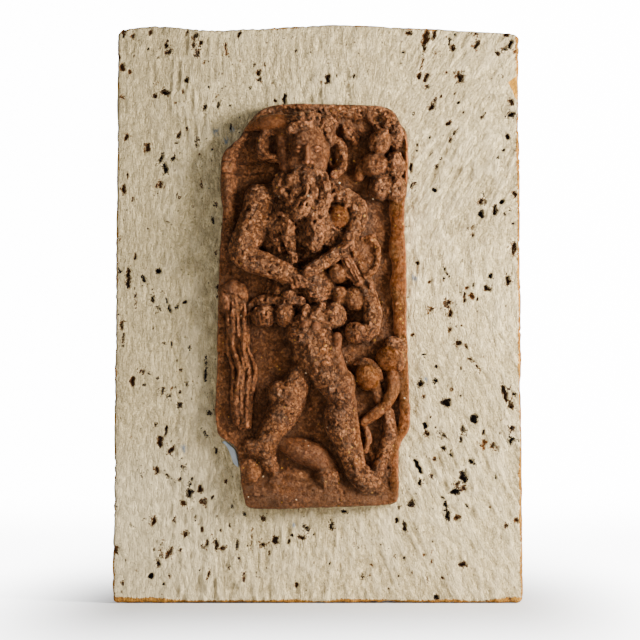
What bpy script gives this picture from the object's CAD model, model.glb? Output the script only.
import math
import bpy
import bmesh
import numpy as np
import openvdb
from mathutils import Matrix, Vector


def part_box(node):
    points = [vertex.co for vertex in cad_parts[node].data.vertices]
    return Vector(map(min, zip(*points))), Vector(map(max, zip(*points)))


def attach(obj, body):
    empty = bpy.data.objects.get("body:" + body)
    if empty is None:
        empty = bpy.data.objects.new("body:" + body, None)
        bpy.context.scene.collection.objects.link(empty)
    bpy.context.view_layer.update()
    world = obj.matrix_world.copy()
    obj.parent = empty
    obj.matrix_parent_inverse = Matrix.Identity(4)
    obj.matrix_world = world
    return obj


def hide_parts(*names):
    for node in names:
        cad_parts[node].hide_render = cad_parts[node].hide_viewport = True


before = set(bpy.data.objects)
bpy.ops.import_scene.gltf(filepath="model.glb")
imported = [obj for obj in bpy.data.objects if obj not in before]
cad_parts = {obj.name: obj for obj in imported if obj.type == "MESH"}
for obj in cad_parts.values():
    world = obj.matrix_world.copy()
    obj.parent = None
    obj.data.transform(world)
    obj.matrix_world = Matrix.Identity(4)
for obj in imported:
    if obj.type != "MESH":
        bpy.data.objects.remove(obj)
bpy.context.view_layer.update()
print("frame loaded")

mm = 0.001
corkFace = -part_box("cork_board")[0][1] / mm        # how far the face of the cork stands out, in mm

# The relief was measured as it is seen against the face of the cork, from this far and this low.
eye = {"distance": 1400.0, "height": -61.0}


def truePlace(x, z, h):        # where a point that stands h above the cork really is
    nearer = 1 - h / eye["distance"]
    return x * nearer, eye["height"] + (z - eye["height"]) * nearer


def placed(name, data):        # an object for this data, in the scene
    made = bpy.data.objects.new(name, data)
    bpy.context.scene.collection.objects.link(made)
    return made


# Camera and light

view = {
    "middle": (1.4, -3.2),        # mm on the face of the cork, at the middle of the picture
    "width": 448.0,               # mm of the cork's plane across the picture
    "sensor": 36.0,
}


def makeCamera():        # level, and shifted up rather than tilted
    data = bpy.data.cameras.new("photoView")
    data.sensor_fit = "HORIZONTAL"
    data.sensor_width = view["sensor"]
    data.lens = view["sensor"] * eye["distance"] / view["width"]
    data.shift_x = view["middle"][0] / view["width"]
    data.shift_y = (view["middle"][1] - eye["height"]) / view["width"]
    data.clip_end = 20.0
    camera = placed("photoView", data)
    camera.location = Vector((0, -(corkFace + eye["distance"]), eye["height"])) * mm
    camera.rotation_euler = (math.radians(90), 0, 0)
    bpy.context.scene.camera = camera


lights = [        # name, place and size in metres, watts, colour
    {"name": "keyRight", "at": (0.68, -0.34, 0.16), "size": 0.28, "power": 22.0, "tint": (1.0, 0.98, 0.95)},
    {"name": "fillLeft", "at": (-0.9, -1.5, 0.5), "size": 0.7, "power": 10.0, "tint": (0.95, 0.97, 1.0)},
]
sky = {"Color": (0.9, 0.93, 1.0, 1), "Strength": 0.065}


def makeLights():
    for light in lights:
        data = bpy.data.lights.new(light["name"], "AREA")
        data.size = light["size"]
        data.energy = light["power"]
        data.color = light["tint"]
        lamp = placed(light["name"], data)
        lamp.location = light["at"]
        lamp.rotation_euler = (-Vector(light["at"])).to_track_quat("-Z", "Y").to_euler()
    world = bpy.data.worlds.new("studio")
    world.use_nodes = True
    for name, value in sky.items():
        world.node_tree.nodes["Background"].inputs[name].default_value = value
    bpy.context.scene.world = world


# Node helpers. A socket knows its own tree, so most of them need no tree.

def newMaterial(name):
    material = bpy.data.materials.new(name)
    material.use_nodes = True
    tree = material.node_tree
    return material, tree, tree.nodes["Principled BSDF"]


def feed(socket, value):        # joins a socket or sets a plain value
    if isinstance(value, bpy.types.NodeSocket):
        socket.id_data.links.new(value, socket)
    else:
        socket.default_value = value


def put(tree, kind, **settings):        # adds a node, sets its options and feeds its named inputs
    node = tree.nodes.new(kind)
    for key, value in settings.items():
        if hasattr(node, key) and key not in node.inputs:
            setattr(node, key, value)
        else:
            feed(node.inputs[key], value)
    return node


def treeOf(*values):
    return next(value.id_data for value in values if isinstance(value, bpy.types.NodeSocket))


def calc(operation, a, b=0.0):
    node = put(treeOf(a, b), "ShaderNodeMath", operation=operation)
    feed(node.inputs[0], a)
    feed(node.inputs[1], b)
    return node.outputs[0]


def times(first, *others):
    for value in others:
        first = calc("MULTIPLY", first, value)
    return first


def plus(first, *others):
    for value in others:
        first = calc("ADD", first, value)
    return first


def minus(a, b):
    return calc("SUBTRACT", a, b)


def vectorCalc(operation, *values, output="Vector"):
    node = put(treeOf(*values), "ShaderNodeVectorMath", operation=operation)
    for socket, value in zip(node.inputs, values):
        feed(socket, value)
    return node.outputs[output]


def scaledVector(vector, factor):
    node = put(treeOf(vector, factor), "ShaderNodeVectorMath", operation="SCALE", Scale=factor)
    feed(node.inputs[0], vector)
    return node.outputs["Vector"]


def blend(amount, a, b):        # a colour is three numbers or a socket
    node = put(treeOf(amount, a, b), "ShaderNodeMix", data_type="RGBA")
    for index, value in ((0, amount), (6, a), (7, b)):
        feed(node.inputs[index], (*value, 1) if isinstance(value, tuple) else value)
    return node.outputs[2]


def layered(color, *coats):        # lays each coat's colour over the last one, by its amount
    for amount, tint in coats:
        color = blend(amount, color, tint)
    return color


def remap(value, low, high, toLow=0.0, toHigh=1.0):
    node = put(value.id_data, "ShaderNodeMapRange", interpolation_type="SMOOTHSTEP")
    for socket, number in zip(node.inputs[:5], (value, low, high, toLow, toHigh)):
        feed(socket, number)
    return node.outputs[0]


def noise(place, scale, detail=3.0, rough=0.55):
    return put(place.id_data, "ShaderNodeTexNoise", Vector=place, Scale=scale, Detail=detail,
               Roughness=rough).outputs["Fac"]


def attribute(tree, name):
    return put(tree, "ShaderNodeAttribute", attribute_name=name).outputs["Fac"]


def mappedPlace(tree, kind, stretch, degrees=0.0):        # object coordinates, stretched and turned about y
    mapping = put(tree, "ShaderNodeMapping", vector_type=kind, Scale=stretch,
                  Rotation=(0, math.radians(degrees), 0))
    feed(mapping.inputs["Vector"], tree.nodes.new("ShaderNodeTexCoord").outputs["Object"])
    return mapping.outputs["Vector"]


def objectPlace(tree, stretch=(1, 1, 1)):
    return mappedPlace(tree, "POINT", stretch)


def apart(vector):        # the three numbers of a vector
    return put(vector.id_data, "ShaderNodeSeparateXYZ", Vector=vector).outputs


def bumpy(shader, height, distance=1.0, strength=1.0):
    bump = put(shader.id_data, "ShaderNodeBump", Distance=distance, Strength=strength, Height=height)
    feed(shader.inputs["Normal"], bump.outputs["Normal"])


def newGroup(name, inputs, outputs):        # the group, what it is given and what it makes
    group = bpy.data.node_groups.new(name, "ShaderNodeTree")
    for key, value in inputs.items():
        kind = "NodeSocketVector" if value is None else "NodeSocketFloat"
        socket = group.interface.new_socket(key, in_out="INPUT", socket_type=kind)
        if value is not None:
            socket.default_value = value
    for key in outputs:
        group.interface.new_socket(key, in_out="OUTPUT", socket_type="NodeSocketFloat")
    return group, group.nodes.new("NodeGroupInput").outputs, group.nodes.new("NodeGroupOutput").inputs


def useGroup(tree, group, **values):
    node = put(tree, "ShaderNodeGroup", node_tree=group)
    for key, value in values.items():
        feed(node.inputs[key], value)
    return node.outputs


def makeGrainGroup():        # a fine, uneven grain, as a height
    group, given, made = newGroup("fineGrain", {"Place": None, "Size": 1.0}, ["Height"])
    frequency = calc("DIVIDE", 1.0, given["Size"])
    coarse = noise(given["Place"], times(frequency, 420.0), 5.0, 0.62)
    cells = put(group, "ShaderNodeTexVoronoi", Vector=given["Place"], Scale=times(frequency, 900.0))
    crumbs = remap(cells.outputs["Distance"], 0.5, 0.15)
    feed(made["Height"], plus(times(coarse, 0.8), times(crumbs, 0.2)))
    return group


def makeFleckGroup():        # sparse round flecks of uneven size, as a mask
    group, given, made = newGroup("flecks", {"Place": None, "Scale": 150.0, "Share": 0.1, "Radius": 0.25},
                                  ["Mask"])
    cells = put(group, "ShaderNodeTexVoronoi", Vector=given["Place"], Scale=given["Scale"])
    luckOfCell = put(group, "ShaderNodeSeparateColor", Color=cells.outputs["Color"]).outputs
    chosen = calc("LESS_THAN", luckOfCell[0], given["Share"])
    size = times(given["Radius"], plus(0.5, luckOfCell[1]))
    feed(made["Mask"], times(chosen, calc("LESS_THAN", cells.outputs["Distance"], size)))
    return group


def makeFacetGroup():        # small flat faces at odd tilts: a height in metres, the edges and a shade
    group, given, made = newGroup("facets", {"Place": None, "Scale": 300.0, "Tilt": 0.5},
                                  ["Height", "Edge", "Shade"])
    scale = given["Scale"]
    bend = put(group, "ShaderNodeTexNoise", Vector=given["Place"], Scale=times(scale, 1.2), Detail=3.0)
    place = vectorCalc("ADD", given["Place"], scaledVector(bend.outputs["Color"], calc("DIVIDE", 0.9, scale)))
    cells, edges = (put(group, "ShaderNodeTexVoronoi", feature=feature, Vector=place, Scale=scale)
                    for feature in ("F1", "DISTANCE_TO_EDGE"))
    local = vectorCalc("SUBTRACT", place, cells.outputs["Position"])
    lean = vectorCalc("SUBTRACT", cells.outputs["Color"], (0.5, 0.5, 0.5))
    slope = vectorCalc("DOT_PRODUCT", local, lean, output="Value")
    feed(made["Height"], times(slope, 2.0, given["Tilt"]))
    feed(made["Edge"], remap(edges.outputs["Distance"], 0.14, 0.02))
    feed(made["Shade"], put(group, "ShaderNodeSeparateColor", Color=cells.outputs["Color"]).outputs[2])
    return group


def makeBrushGroup():        # marks of the brush, drawn out along the stroke: broad ridges and fine hairs
    group, given, made = newGroup("brushMarks", {"LeanRight": 0.0, "LeanLeft": 0.0}, ["Ridges", "Hairs"])
    for name, (scale, detail, stretch) in {"Ridges": (420.0, 4.0, 0.4), "Hairs": (1300.0, 2.0, 0.22)}.items():
        marks, right, left = (noise(mappedPlace(group, "TEXTURE", (1, 1, 1 / stretch), degrees), scale,
                                    detail, 0.68) for degrees in (0, 34, -22))
        for share, other in (("LeanRight", right), ("LeanLeft", left)):
            mix = group.nodes.new("ShaderNodeMix")
            for index, value in ((0, given[share]), (2, marks), (3, other)):
                feed(mix.inputs[index], value)
            marks = mix.outputs[0]
        feed(made[name], marks)
    return group


# The field of clay: how far each sample lies from the surface, in mm, below nought inside

clay = {
    "voxel": 0.8,
    "triangles": 166000,
    "low": (-77.0, -2.0, -140.0),        # x, height above the cork, z
    "high": (69.0, 35.0, 152.0),
    "back": 0.4,
    "ground": 8.6,
    "join": 2.2,                         # how far one roll is smoothed into the next
    "trim": 0.6,
    "seed": 11,
    "far": 30.0,                         # the field's value where there is no clay
    "bite": 0.8,                         # how far a cut is smoothed into the form
}
axes = [np.arange(clay["low"][i], clay["high"][i], clay["voxel"], dtype=np.float32) for i in range(3)]
shape = tuple(len(axis) for axis in axes)
field = np.full(shape, clay["far"], np.float32)
crumb = np.full(shape, 0.3, np.float32)        # how pinched and crumbly the clay is
sheen = np.full(shape, 0.1, np.float32)        # how smooth and burnished it is
grainAlong = np.zeros(shape, np.float32)       # mm along the stroke of the fingers, and across it
grainAcross = np.zeros(shape, np.float32)
luck = np.random.default_rng(clay["seed"])


def windowAround(low, high):        # the samples inside a box, as slices
    cuts = []
    for axis, a, b in zip(axes, low, high):
        first = max(int(np.searchsorted(axis, a)) - 1, 0)
        last = min(int(np.searchsorted(axis, b)) + 1, len(axis))
        cuts.append(slice(first, max(last, first)))
    return tuple(cuts)


def spots(cuts):        # where those samples lie
    return axes[0][cuts[0], None, None], axes[1][None, cuts[1], None], axes[2][None, None, cuts[2]]


def smoothLine(stations, step=2.0):        # a curve through [x, z, h, ...] stations, ends included
    knots = np.array(stations, float)
    padded = np.vstack([2 * knots[0] - knots[1], knots, 2 * knots[-1] - knots[-2]])
    made = []
    for a, b, c, d in zip(padded[:-3], padded[1:-2], padded[2:-1], padded[3:]):
        count = max(2, int(np.linalg.norm(c[:3] - b[:3]) / step))
        for t in np.linspace(0, 1, count, endpoint=False):
            made.append(0.5 * (2 * b + (c - a) * t + (2 * a - 5 * b + 4 * c - d) * t * t
                               + (3 * b - a - 3 * c + d) * t ** 3))
    made.append(knots[-1])
    return np.array(made)


def seenLine(stations, step=2.0):        # the same, with each point moved to its true place
    line = smoothLine(stations, step)
    for point in line:
        point[0], point[1] = truePlace(point[0], point[1], point[2])
    return line


def rollField(line, flat, reach):        # a rod along a line, thinned or thickened outwards by flat
    radius = line[:, 3].max() + reach
    low = (line[:, 0].min() - radius, line[:, 2].min() - radius * flat, line[:, 1].min() - radius)
    high = (line[:, 0].max() + radius, line[:, 2].max() + radius * flat, line[:, 1].max() + radius)
    cuts = windowAround(low, high)
    near = np.full([cut.stop - cut.start for cut in cuts], clay["far"], np.float32)
    along, across = np.zeros_like(near), np.zeros_like(near)
    gone, aside = float(luck.uniform(0, 400)), float(luck.uniform(0, 400))
    for a, b in zip(line[:-1], line[1:]):
        wide = max(a[3], b[3]) + reach
        part = windowAround(np.minimum(a, b)[[0, 2, 1]] - (wide, wide * flat, wide),
                            np.maximum(a, b)[[0, 2, 1]] + (wide, wide * flat, wide))
        inner = tuple(slice(p.start - c.start, p.stop - c.start) for p, c in zip(part, cuts))
        x, h, z = spots(part)
        run = (b[0] - a[0], (b[2] - a[2]) / flat, b[1] - a[1])
        length = max(run[0] ** 2 + run[1] ** 2 + run[2] ** 2, 1e-6)
        off = (x - a[0], (h - a[2]) / flat, z - a[1])
        t = np.clip((off[0] * run[0] + off[1] * run[1] + off[2] * run[2]) / length, 0, 1)
        gap = np.sqrt((off[0] - t * run[0]) ** 2 + (off[1] - t * run[1]) ** 2
                      + (off[2] - t * run[2]) ** 2) - (a[3] + t * (b[3] - a[3]))
        closer = gap < near[inner]
        flatRun = math.hypot(run[0], run[2]) + 1e-6
        sideways = (off[0] * run[2] - off[2] * run[0]) / flatRun
        along[inner] = np.where(closer, gone + t * math.sqrt(length), along[inner])
        across[inner] = np.where(closer, aside + sideways, across[inner])
        near[inner] = np.where(closer, gap, near[inner])
        gone += math.sqrt(length)
    return cuts, near, along, across


def turned(x, z, turn):        # the same places in a frame turned by this many radians
    return x * math.cos(turn) + z * math.sin(turn), z * math.cos(turn) - x * math.sin(turn)


def lumpField(x, z, h, across, up, out, lean, reach):        # an egg shape
    cx, cz = truePlace(x, z, h)
    wide = max(across, up) + reach
    cuts = windowAround((cx - wide, h - out - reach, cz - wide), (cx + wide, h + out + reach, cz + wide))
    px, ph, pz = spots(cuts)
    u, v = turned(px - cx, pz - cz, math.radians(lean))
    scaled = np.sqrt((u / across) ** 2 + ((ph - h) / out) ** 2 + (v / up) ** 2) + 1e-6
    slope = np.sqrt((u / across ** 2) ** 2 + ((ph - h) / out ** 2) ** 2 + (v / up ** 2) ** 2) + 1e-6
    near = (scaled * (scaled - 1) / slope).astype(np.float32)
    shift = float(luck.uniform(0, 400))
    if across > up:
        u, v = v, u
    return cuts, near, v + shift + 0 * near, u + 0 * near


def meltIn(cuts, near, join):        # joins a form to the clay, and gives how far each sample took it
    here = field[cuts]
    share = np.clip(0.5 + 0.5 * (here - near) / join, 0, 1)
    field[cuts] = here * (1 - share) + near * share - join * share * (1 - share)
    return share


def addClay(cuts, near, along, across, join, rough, gloss):
    share = meltIn(cuts, near, join)
    crumb[cuts] += (rough - crumb[cuts]) * share
    sheen[cuts] += (gloss - sheen[cuts]) * share
    grainAlong[cuts] = np.where(share > 0.5, along, grainAlong[cuts])
    grainAcross[cuts] = np.where(share > 0.5, across, grainAcross[cuts])


def cutClay(cuts, near, join=clay["bite"]):
    here = field[cuts]
    share = np.clip(0.5 - 0.5 * (here + near) / join, 0, 1)
    field[cuts] = here * (1 - share) - near * share + join * share * (1 - share)


def roll(stations, flat=1.0, join=clay["join"], rough=0.5, gloss=0.15):        # stations are x, z, h, radius
    addClay(*rollField(seenLine(stations), flat, join + 2), join, rough, gloss)


def lump(x, z, h, across, up, out, lean=0, join=clay["join"], rough=0.5, gloss=0.15):
    addClay(*lumpField(x, z, h, across, up, out, lean, join + 2), join, rough, gloss)


def hollow(x, z, h, across, up, out, lean=0, join=1.2):
    cutClay(*lumpField(x, z, h, across, up, out, lean, join + 2)[:2], join)


def surfaceHeight():        # the height of the clay above the cork, seen from the front
    solid = field < 0
    top = shape[1] - 1 - np.argmax(solid[:, ::-1, :], axis=1)
    top = np.clip(top, 0, shape[1] - 2)
    i, k = np.indices(top.shape)
    below = field[i, top, k]
    above = field[i, top + 1, k]
    return axes[1][top] + clay["voxel"] * np.clip(below / (below - above - 1e-6), 0, 1)


def heightAt(heights, x, z):
    i = np.clip(((x - clay["low"][0]) / clay["voxel"]).astype(int), 0, shape[0] - 1)
    k = np.clip(((z - clay["low"][2]) / clay["voxel"]).astype(int), 0, shape[2] - 1)
    return heights[i, k]


def onSurface(path, heights, lift, radius):        # lays [x, z] points on the clay that is there
    line = smoothLine([[x, z, 12.0, radius] for x, z in path], 0.9)
    for point in line:
        x, z = truePlace(point[0], point[1], 16.0)
        point[0], point[1] = x, z
        point[2] = heightAt(heights, np.array([x]), np.array([z]))[0] + lift
    return line


def groove(path, heights, radius=0.9, depth=1.2):        # an incised line
    cutClay(*rollField(onSurface(path, heights, radius - depth, radius), 1.0, 1.5)[:2], 0.5)


def tableNoise(x, z, seed):        # smooth noise from -1 to 1 at any places
    table = np.random.default_rng(seed).uniform(-1, 1, (128, 128))
    i, k = np.floor(x).astype(int), np.floor(z).astype(int)
    a, b = x - i, z - k
    a, b = a * a * (3 - 2 * a), b * b * (3 - 2 * b)
    low = table[i % 128, k % 128] * (1 - a) + table[(i + 1) % 128, k % 128] * a
    high = table[i % 128, (k + 1) % 128] * (1 - a) + table[(i + 1) % 128, (k + 1) % 128] * a
    return low * (1 - b) + high * b


def latticeNoise(sizes, cells, rng):        # smooth noise from -1 to 1, cells in samples along each axis
    grid = rng.uniform(-1, 1, [int(n / c) + 3 for n, c in zip(sizes, cells)]).astype(np.float32)
    for axis, (count, cell) in enumerate(zip(sizes, cells)):
        place = np.arange(count) / cell
        first = place.astype(int)
        t = (place - first).astype(np.float32)
        t = t * t * (3 - 2 * t)
        t = t.reshape([-1 if i == axis else 1 for i in range(len(sizes))])
        grid = np.take(grid, first, axis) * (1 - t) + np.take(grid, first + 1, axis) * t
    return grid


# The slab

slabEdge = {
    "left": [(-71, 0), (-70.5, 24), (-69.2, 50), (-67.4, 72), (-69.2, 87), (-68.7, 105)],
    "shoulder": [(-66.5, 114.5), (-58, 122.5), (-53, 129), (-48.5, 136.5), (-38.5, 145.3)],
    "top": [(-25, 148), (-3, 148.8), (20, 148.1), (45, 147.4), (54, 142.5), (58.5, 134.5)],
    "right": [(63.2, 126.5), (63.8, 96), (61.3, 76), (61.4, 55), (62.8, 34), (63, -10), (65.2, -68)],
    "foot": [(64.3, -81), (58.8, -89.5), (57.3, -100), (57, -127), (53.5, -132), (46, -133.4)],
    "bottom": [(20, -134.6), (-29, -136.2), (-48, -135.4), (-52, -129.5), (-55.2, -114)],
    "notch": [(-56.2, -98), (-60, -91), (-69.5, -85), (-72, -78), (-73, -62), (-71.8, -46)],
}


def slabOutline():
    knots = [point for side in slabEdge.values() for point in side]
    closed = knots[-1:] + knots + knots[:2]
    line = smoothLine([[x, z, 0, 0] for x, z in closed], 2.5)
    first = np.argmin(np.hypot(line[:, 0] - knots[0][0], line[:, 1] - knots[0][1]))
    last = len(line) - 1 - np.argmin(np.hypot(line[::-1, 0] - knots[0][0], line[::-1, 1] - knots[0][1]))
    ring = line[first:last, :2]
    x, z = truePlace(ring[:, 0], ring[:, 1], clay["ground"])
    return np.stack([x, z], 1)


def outlineDistance(ring, x, z):        # signed distance to a closed outline, below nought inside
    nearest = np.full(np.broadcast(x, z).shape, 1e9)
    inside = np.zeros(nearest.shape, bool)
    for (ax, az), (bx, bz) in zip(ring, np.roll(ring, -1, axis=0)):
        run = (bx - ax, bz - az)
        t = np.clip(((x - ax) * run[0] + (z - az) * run[1]) / (run[0] ** 2 + run[1] ** 2 + 1e-9), 0, 1)
        nearest = np.minimum(nearest, np.hypot(x - ax - t * run[0], z - az - t * run[1]))
        if abs(run[1]) > 1e-9:
            crosses = ((az > z) != (bz > z)) & (x < run[0] * (z - az) / run[1] + ax)
            inside ^= crosses
    return np.where(inside, -nearest, nearest).astype(np.float32)


def layGround():
    flatNoise = latticeNoise((shape[0], shape[2]), (17, 17), luck)
    smallNoise = latticeNoise((shape[0], shape[2]), (6, 7), luck)
    ground = clay["ground"] + 1.1 * flatNoise + 0.45 * smallNoise
    x, h, z = spots((slice(None), slice(None), slice(None)))
    field[:] = h - ground[:, None, :]
    crumb[:] = 0.26
    sheen[:] = 0.12
    grainAlong[:] = z + 0 * field
    grainAcross[:] = x + 0 * field


def margins():
    smooth = {"rough": 0.16, "gloss": 1.0, "join": 0.8}
    roll([[57, 84, 10.6, 5], [55.8, 74, 11, 6.4], [56.8, 60, 11, 5.8], [56, 47, 11, 6.6],
          [57.4, 34, 10.8, 5.6], [56.6, 20, 11, 6.4], [57.6, 5, 10.6, 5.4], [57.8, -11, 10.4, 4.8]],
         0.42, **smooth)
    roll([[60, -12, 10.4, 4.4], [60.6, -28, 10.6, 4], [60.2, -42, 10.8, 4.6], [61, -56, 10.8, 4.2],
          [61.4, -68, 10.8, 4.4], [59.6, -81, 10.6, 4.2], [55, -93, 10.4, 3.6], [54, -112, 10.4, 3.4],
          [53.4, -128, 10, 3.4]], 0.5, **smooth)
    roll([[62.2, 124, 7.5, 2.2], [62.6, 104, 7.5, 2.2], [61.6, 84, 7.5, 2.2]], 2.2, rough=0.1, gloss=0.9)
    roll([[-62.5, 113, 6.5, 6], [-63, 96, 6.5, 6.2], [-62.5, 78, 6.5, 6.6], [-63.5, 60, 5.5, 6.5],
          [-65, 44, 4.5, 5.5]], 1.1, join=3, rough=0.25, gloss=0.3)
    roll([[-57, 118, 7.5, 4], [-50, 128, 7.5, 3.4], [-44, 136, 7.5, 3.6], [-34, 143, 7.5, 4.6],
          [-18, 144.4, 7.5, 5.4], [4, 143.6, 7.5, 5.8], [26, 143.5, 7.5, 5.6], [44, 142, 7.5, 5.4]], 0.95,
         join=4, rough=0.42, gloss=0.3)


def baseGround():
    quiet = {"rough": 0.24, "gloss": 0.5}
    roll([[-46, -127, 3, 8.5], [-24, -126, 5, 10.5], [2, -125, 6, 11], [26, -126, 5, 10],
          [44, -127, 4, 8.5]], 0.95, join=6, **quiet)
    lump(-47, -109, 7, 8.2, 9.6, 7.4, 15, join=3, rough=0.25, gloss=0.5)
    lump(-18, -116, 5, 17, 9, 9, join=5, **quiet)
    lump(7, -114, 8, 10, 8.6, 9.4, 20, join=2.5, rough=0.35, gloss=0.25)
    lump(44, -106, 4, 11, 14, 7, join=4, rough=0.5)


# The head

head = {"top": 142.0, "chin": 91.0, "middle": -7.5, "half": 15.5}


def face():        # calm, with the eyes halfway down and the nose ending halfway from brow to chin
    height = head["top"] - head["chin"]
    middle = head["middle"]
    eyes = head["top"] - height * 0.5
    brows = head["top"] - height * 0.42
    noseEnd = (brows + head["chin"]) / 2
    mouth = noseEnd - (noseEnd - head["chin"]) / 3
    skin = {"rough": 0.22, "gloss": 0.35, "join": 1.6}
    lump(middle, (head["top"] + head["chin"]) / 2, 13, head["half"], height / 2, 13.4, **skin)
    for side in (-1, 1):
        hollow(middle + side * 6.4, eyes + 0.3, 26.6, 4.2, 3.0, 2.9, join=2)
        lump(middle + side * 7.8, noseEnd + 1.2, 20.6, 5.4, 5.6, 4.4, rough=0.2, gloss=0.5, join=2.4)
        lump(middle + side * 6.5, eyes, 22.6, 3.2, 2.2, 2.6, rough=0.05, gloss=0.4, join=0.5)
        for lift, bulge in ((1.7, 0.5), (-1.6, 0.2)):
            roll([[middle + side * 3.2, eyes, 23.6, 0.7],
                  [middle + side * 6.4, eyes + lift, 25 + bulge, 0.85],
                  [middle + side * 9.8, eyes, 22.6, 0.7]], rough=0.1, gloss=0.3, join=0.7)
        roll([[middle + side * 2.8, brows + 0.6, 24.6, 1.0], [middle + side * 7, brows + 1.8, 24.6, 1.2],
              [middle + side * 11, brows - 0.4, 21.2, 1.0]], rough=0.2, gloss=0.3, join=1.6)
        lump(middle + side * 2.5, noseEnd + 1.6, 26, 1.7, 1.6, 2.2, rough=0.15, gloss=0.4, join=1)
    roll([[middle, brows + 1, 24.8, 1.8], [middle, eyes - 2, 26.6, 1.9], [middle, noseEnd + 2, 28, 2.5]],
         rough=0.15, gloss=0.45, join=1.6)
    for side in (-1, 1):
        hollow(middle + side * 1.5, noseEnd - 0.2, 28.6, 0.8, 0.8, 1.6, join=0.4)
    lump(middle, mouth - 1, 20.4, 8, 7, 3.6, rough=0.3, gloss=0.3, join=2.4)
    roll([[middle - 4.6, mouth + 0.5, 22.6, 0.9], [middle - 1.6, mouth + 1.3, 23.8, 1.1],
          [middle, mouth + 1, 23.9, 1], [middle + 1.6, mouth + 1.3, 23.8, 1.1],
          [middle + 4.6, mouth + 0.5, 22.6, 0.9]], rough=0.1, gloss=0.4, join=0.8)
    roll([[middle - 3.8, mouth - 1, 22.6, 0.9], [middle, mouth - 1.8, 23.8, 1.4],
          [middle + 3.8, mouth - 1, 22.6, 0.9]], rough=0.1, gloss=0.4, join=0.8)
    for side in (-1, 1):        # the moustache
        roll([[middle + side * 1.2, mouth + 3.2, 24, 1.4], [middle + side * 6.4, mouth + 1.6, 23, 1.9],
              [middle + side * 9.6, mouth - 5, 20, 2]], rough=0.8, gloss=0.15, join=1)


def hairHornsAndEars():
    lump(-9, 136, 17, 14, 7.4, 10, rough=0.85, join=2)
    lump(5, 133.5, 15, 7.4, 7.6, 10, -15, rough=0.9, join=1.6)
    lump(8.4, 126, 14, 4.2, 8, 8, rough=0.6, join=2)
    lump(-17.5, 131, 18, 5, 6.5, 6.5, -15, rough=0.7, join=1.6)
    roll([[-21, 136, 17, 5.2], [-31, 135.6, 17, 5.3], [-40, 134.4, 15, 4.9], [-48.5, 131.4, 12, 2]],
         rough=0.12, gloss=0.6, join=1.2)
    roll([[-24.5, 129, 13, 5.2], [-24.4, 117, 15, 5.2], [-22, 104, 16, 5]], rough=0.2, gloss=0.35, join=2.6)
    roll([[-27, 128.6, 14, 3.4], [-35, 128, 14, 3.6], [-40.4, 122, 13, 3.4], [-40, 115, 13, 3.4],
          [-34.6, 110.6, 14, 3.6], [-28, 110, 15, 3]], rough=0.35, gloss=0.3, join=1.6)
    lump(-34, 119.5, 9, 8, 9.6, 5.4, rough=0.3)
    hollow(-31.6, 119.6, 15.5, 3, 5.6, 5.5, 8)
    roll([[9, 123, 14, 2.8], [14.4, 121.6, 14, 3], [18.4, 113, 13, 3], [16.8, 103, 13, 3],
          [11.6, 98.6, 14, 3]], rough=0.45, join=1.8)
    lump(13.4, 111.5, 9, 6, 12, 5, -8, rough=0.3)
    hollow(10.6, 110.4, 16, 2.5, 7, 6.5)


def beard():
    whiskers = {"rough": 1.0, "gloss": 0.12, "join": 1.5}
    lump(-9.5, 71, 9, 20, 26, 12.5, rough=0.9, join=3)
    lump(-13, 88, 14, 15, 8.4, 9, rough=1, join=2)
    lump(-4, 76, 15, 11, 12, 9, rough=1, join=2)
    lump(-22, 62, 12, 9, 17, 9, 8, rough=1, join=2)
    lump(-1, 58, 13, 8.4, 13, 9, rough=1, join=2)
    for stations in (
            [[-25, 97, 15, 4.6], [-27.5, 90, 17, 5], [-22, 83, 19, 4.6]],
            [[-17, 95, 20, 5], [-14, 87, 22, 5], [-17, 79, 21, 4.6]],
            [[-7, 94, 21, 5.2], [-5, 87, 22.5, 5.8], [-9, 78, 23.5, 6.4], [-15, 70, 22, 4.6]],
            [[2, 96, 18, 5.2], [4, 84, 20, 5.4], [1.6, 72, 22, 4.8]],
            [[-27, 75, 14, 5.4], [-29.5, 62, 16, 5], [-27, 46, 15, 3.4]],
            [[-19, 74, 17, 5.6], [-21, 58, 20, 5.8], [-17, 38.6, 17, 2.2]],
            [[-2.5, 73, 20, 6.2], [-2, 60, 22, 7], [-2.5, 48, 20, 4.6]],
            [[-8, 98.4, 18.6, 3.4], [-8.6, 92, 22, 4.6], [-8, 86, 22, 4]],
            [[2.6, 72, 16, 4.6], [5.6, 61, 16, 4.6], [5.4, 52, 14, 3.4]]):
        roll(stations, **whiskers)
    hollow(-11, 56, 22, 1.9, 7.5, 4.2)
    hollow(-4.6, 73, 29.5, 2.2, 2.6, 3)
    hollow(1.4, 69.4, 27.5, 2.2, 2, 3.6)
    hollow(-8.6, 63.6, 27, 2, 1.8, 5)


# The body

def trunk():
    lump(-12, 66, 5, 27, 30, 11, rough=0.5, join=4)
    lump(0.6, 19.5, 8, 12.5, 15, 11.4, rough=0.45, gloss=0.25, join=2)
    lump(-22, 20, 4.5, 16, 18, 10.5, join=4)
    lump(-31, 60, 8, 9, 22, 9, 6, rough=0.75, join=3)
    lump(9, 57, 8.6, 11, 13, 8, rough=0.6, join=3)
    roll([[2, 90, 8, 7], [-20, 88, 9, 7.5], [-35, 84, 10, 8]], rough=0.45, join=3)


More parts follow.
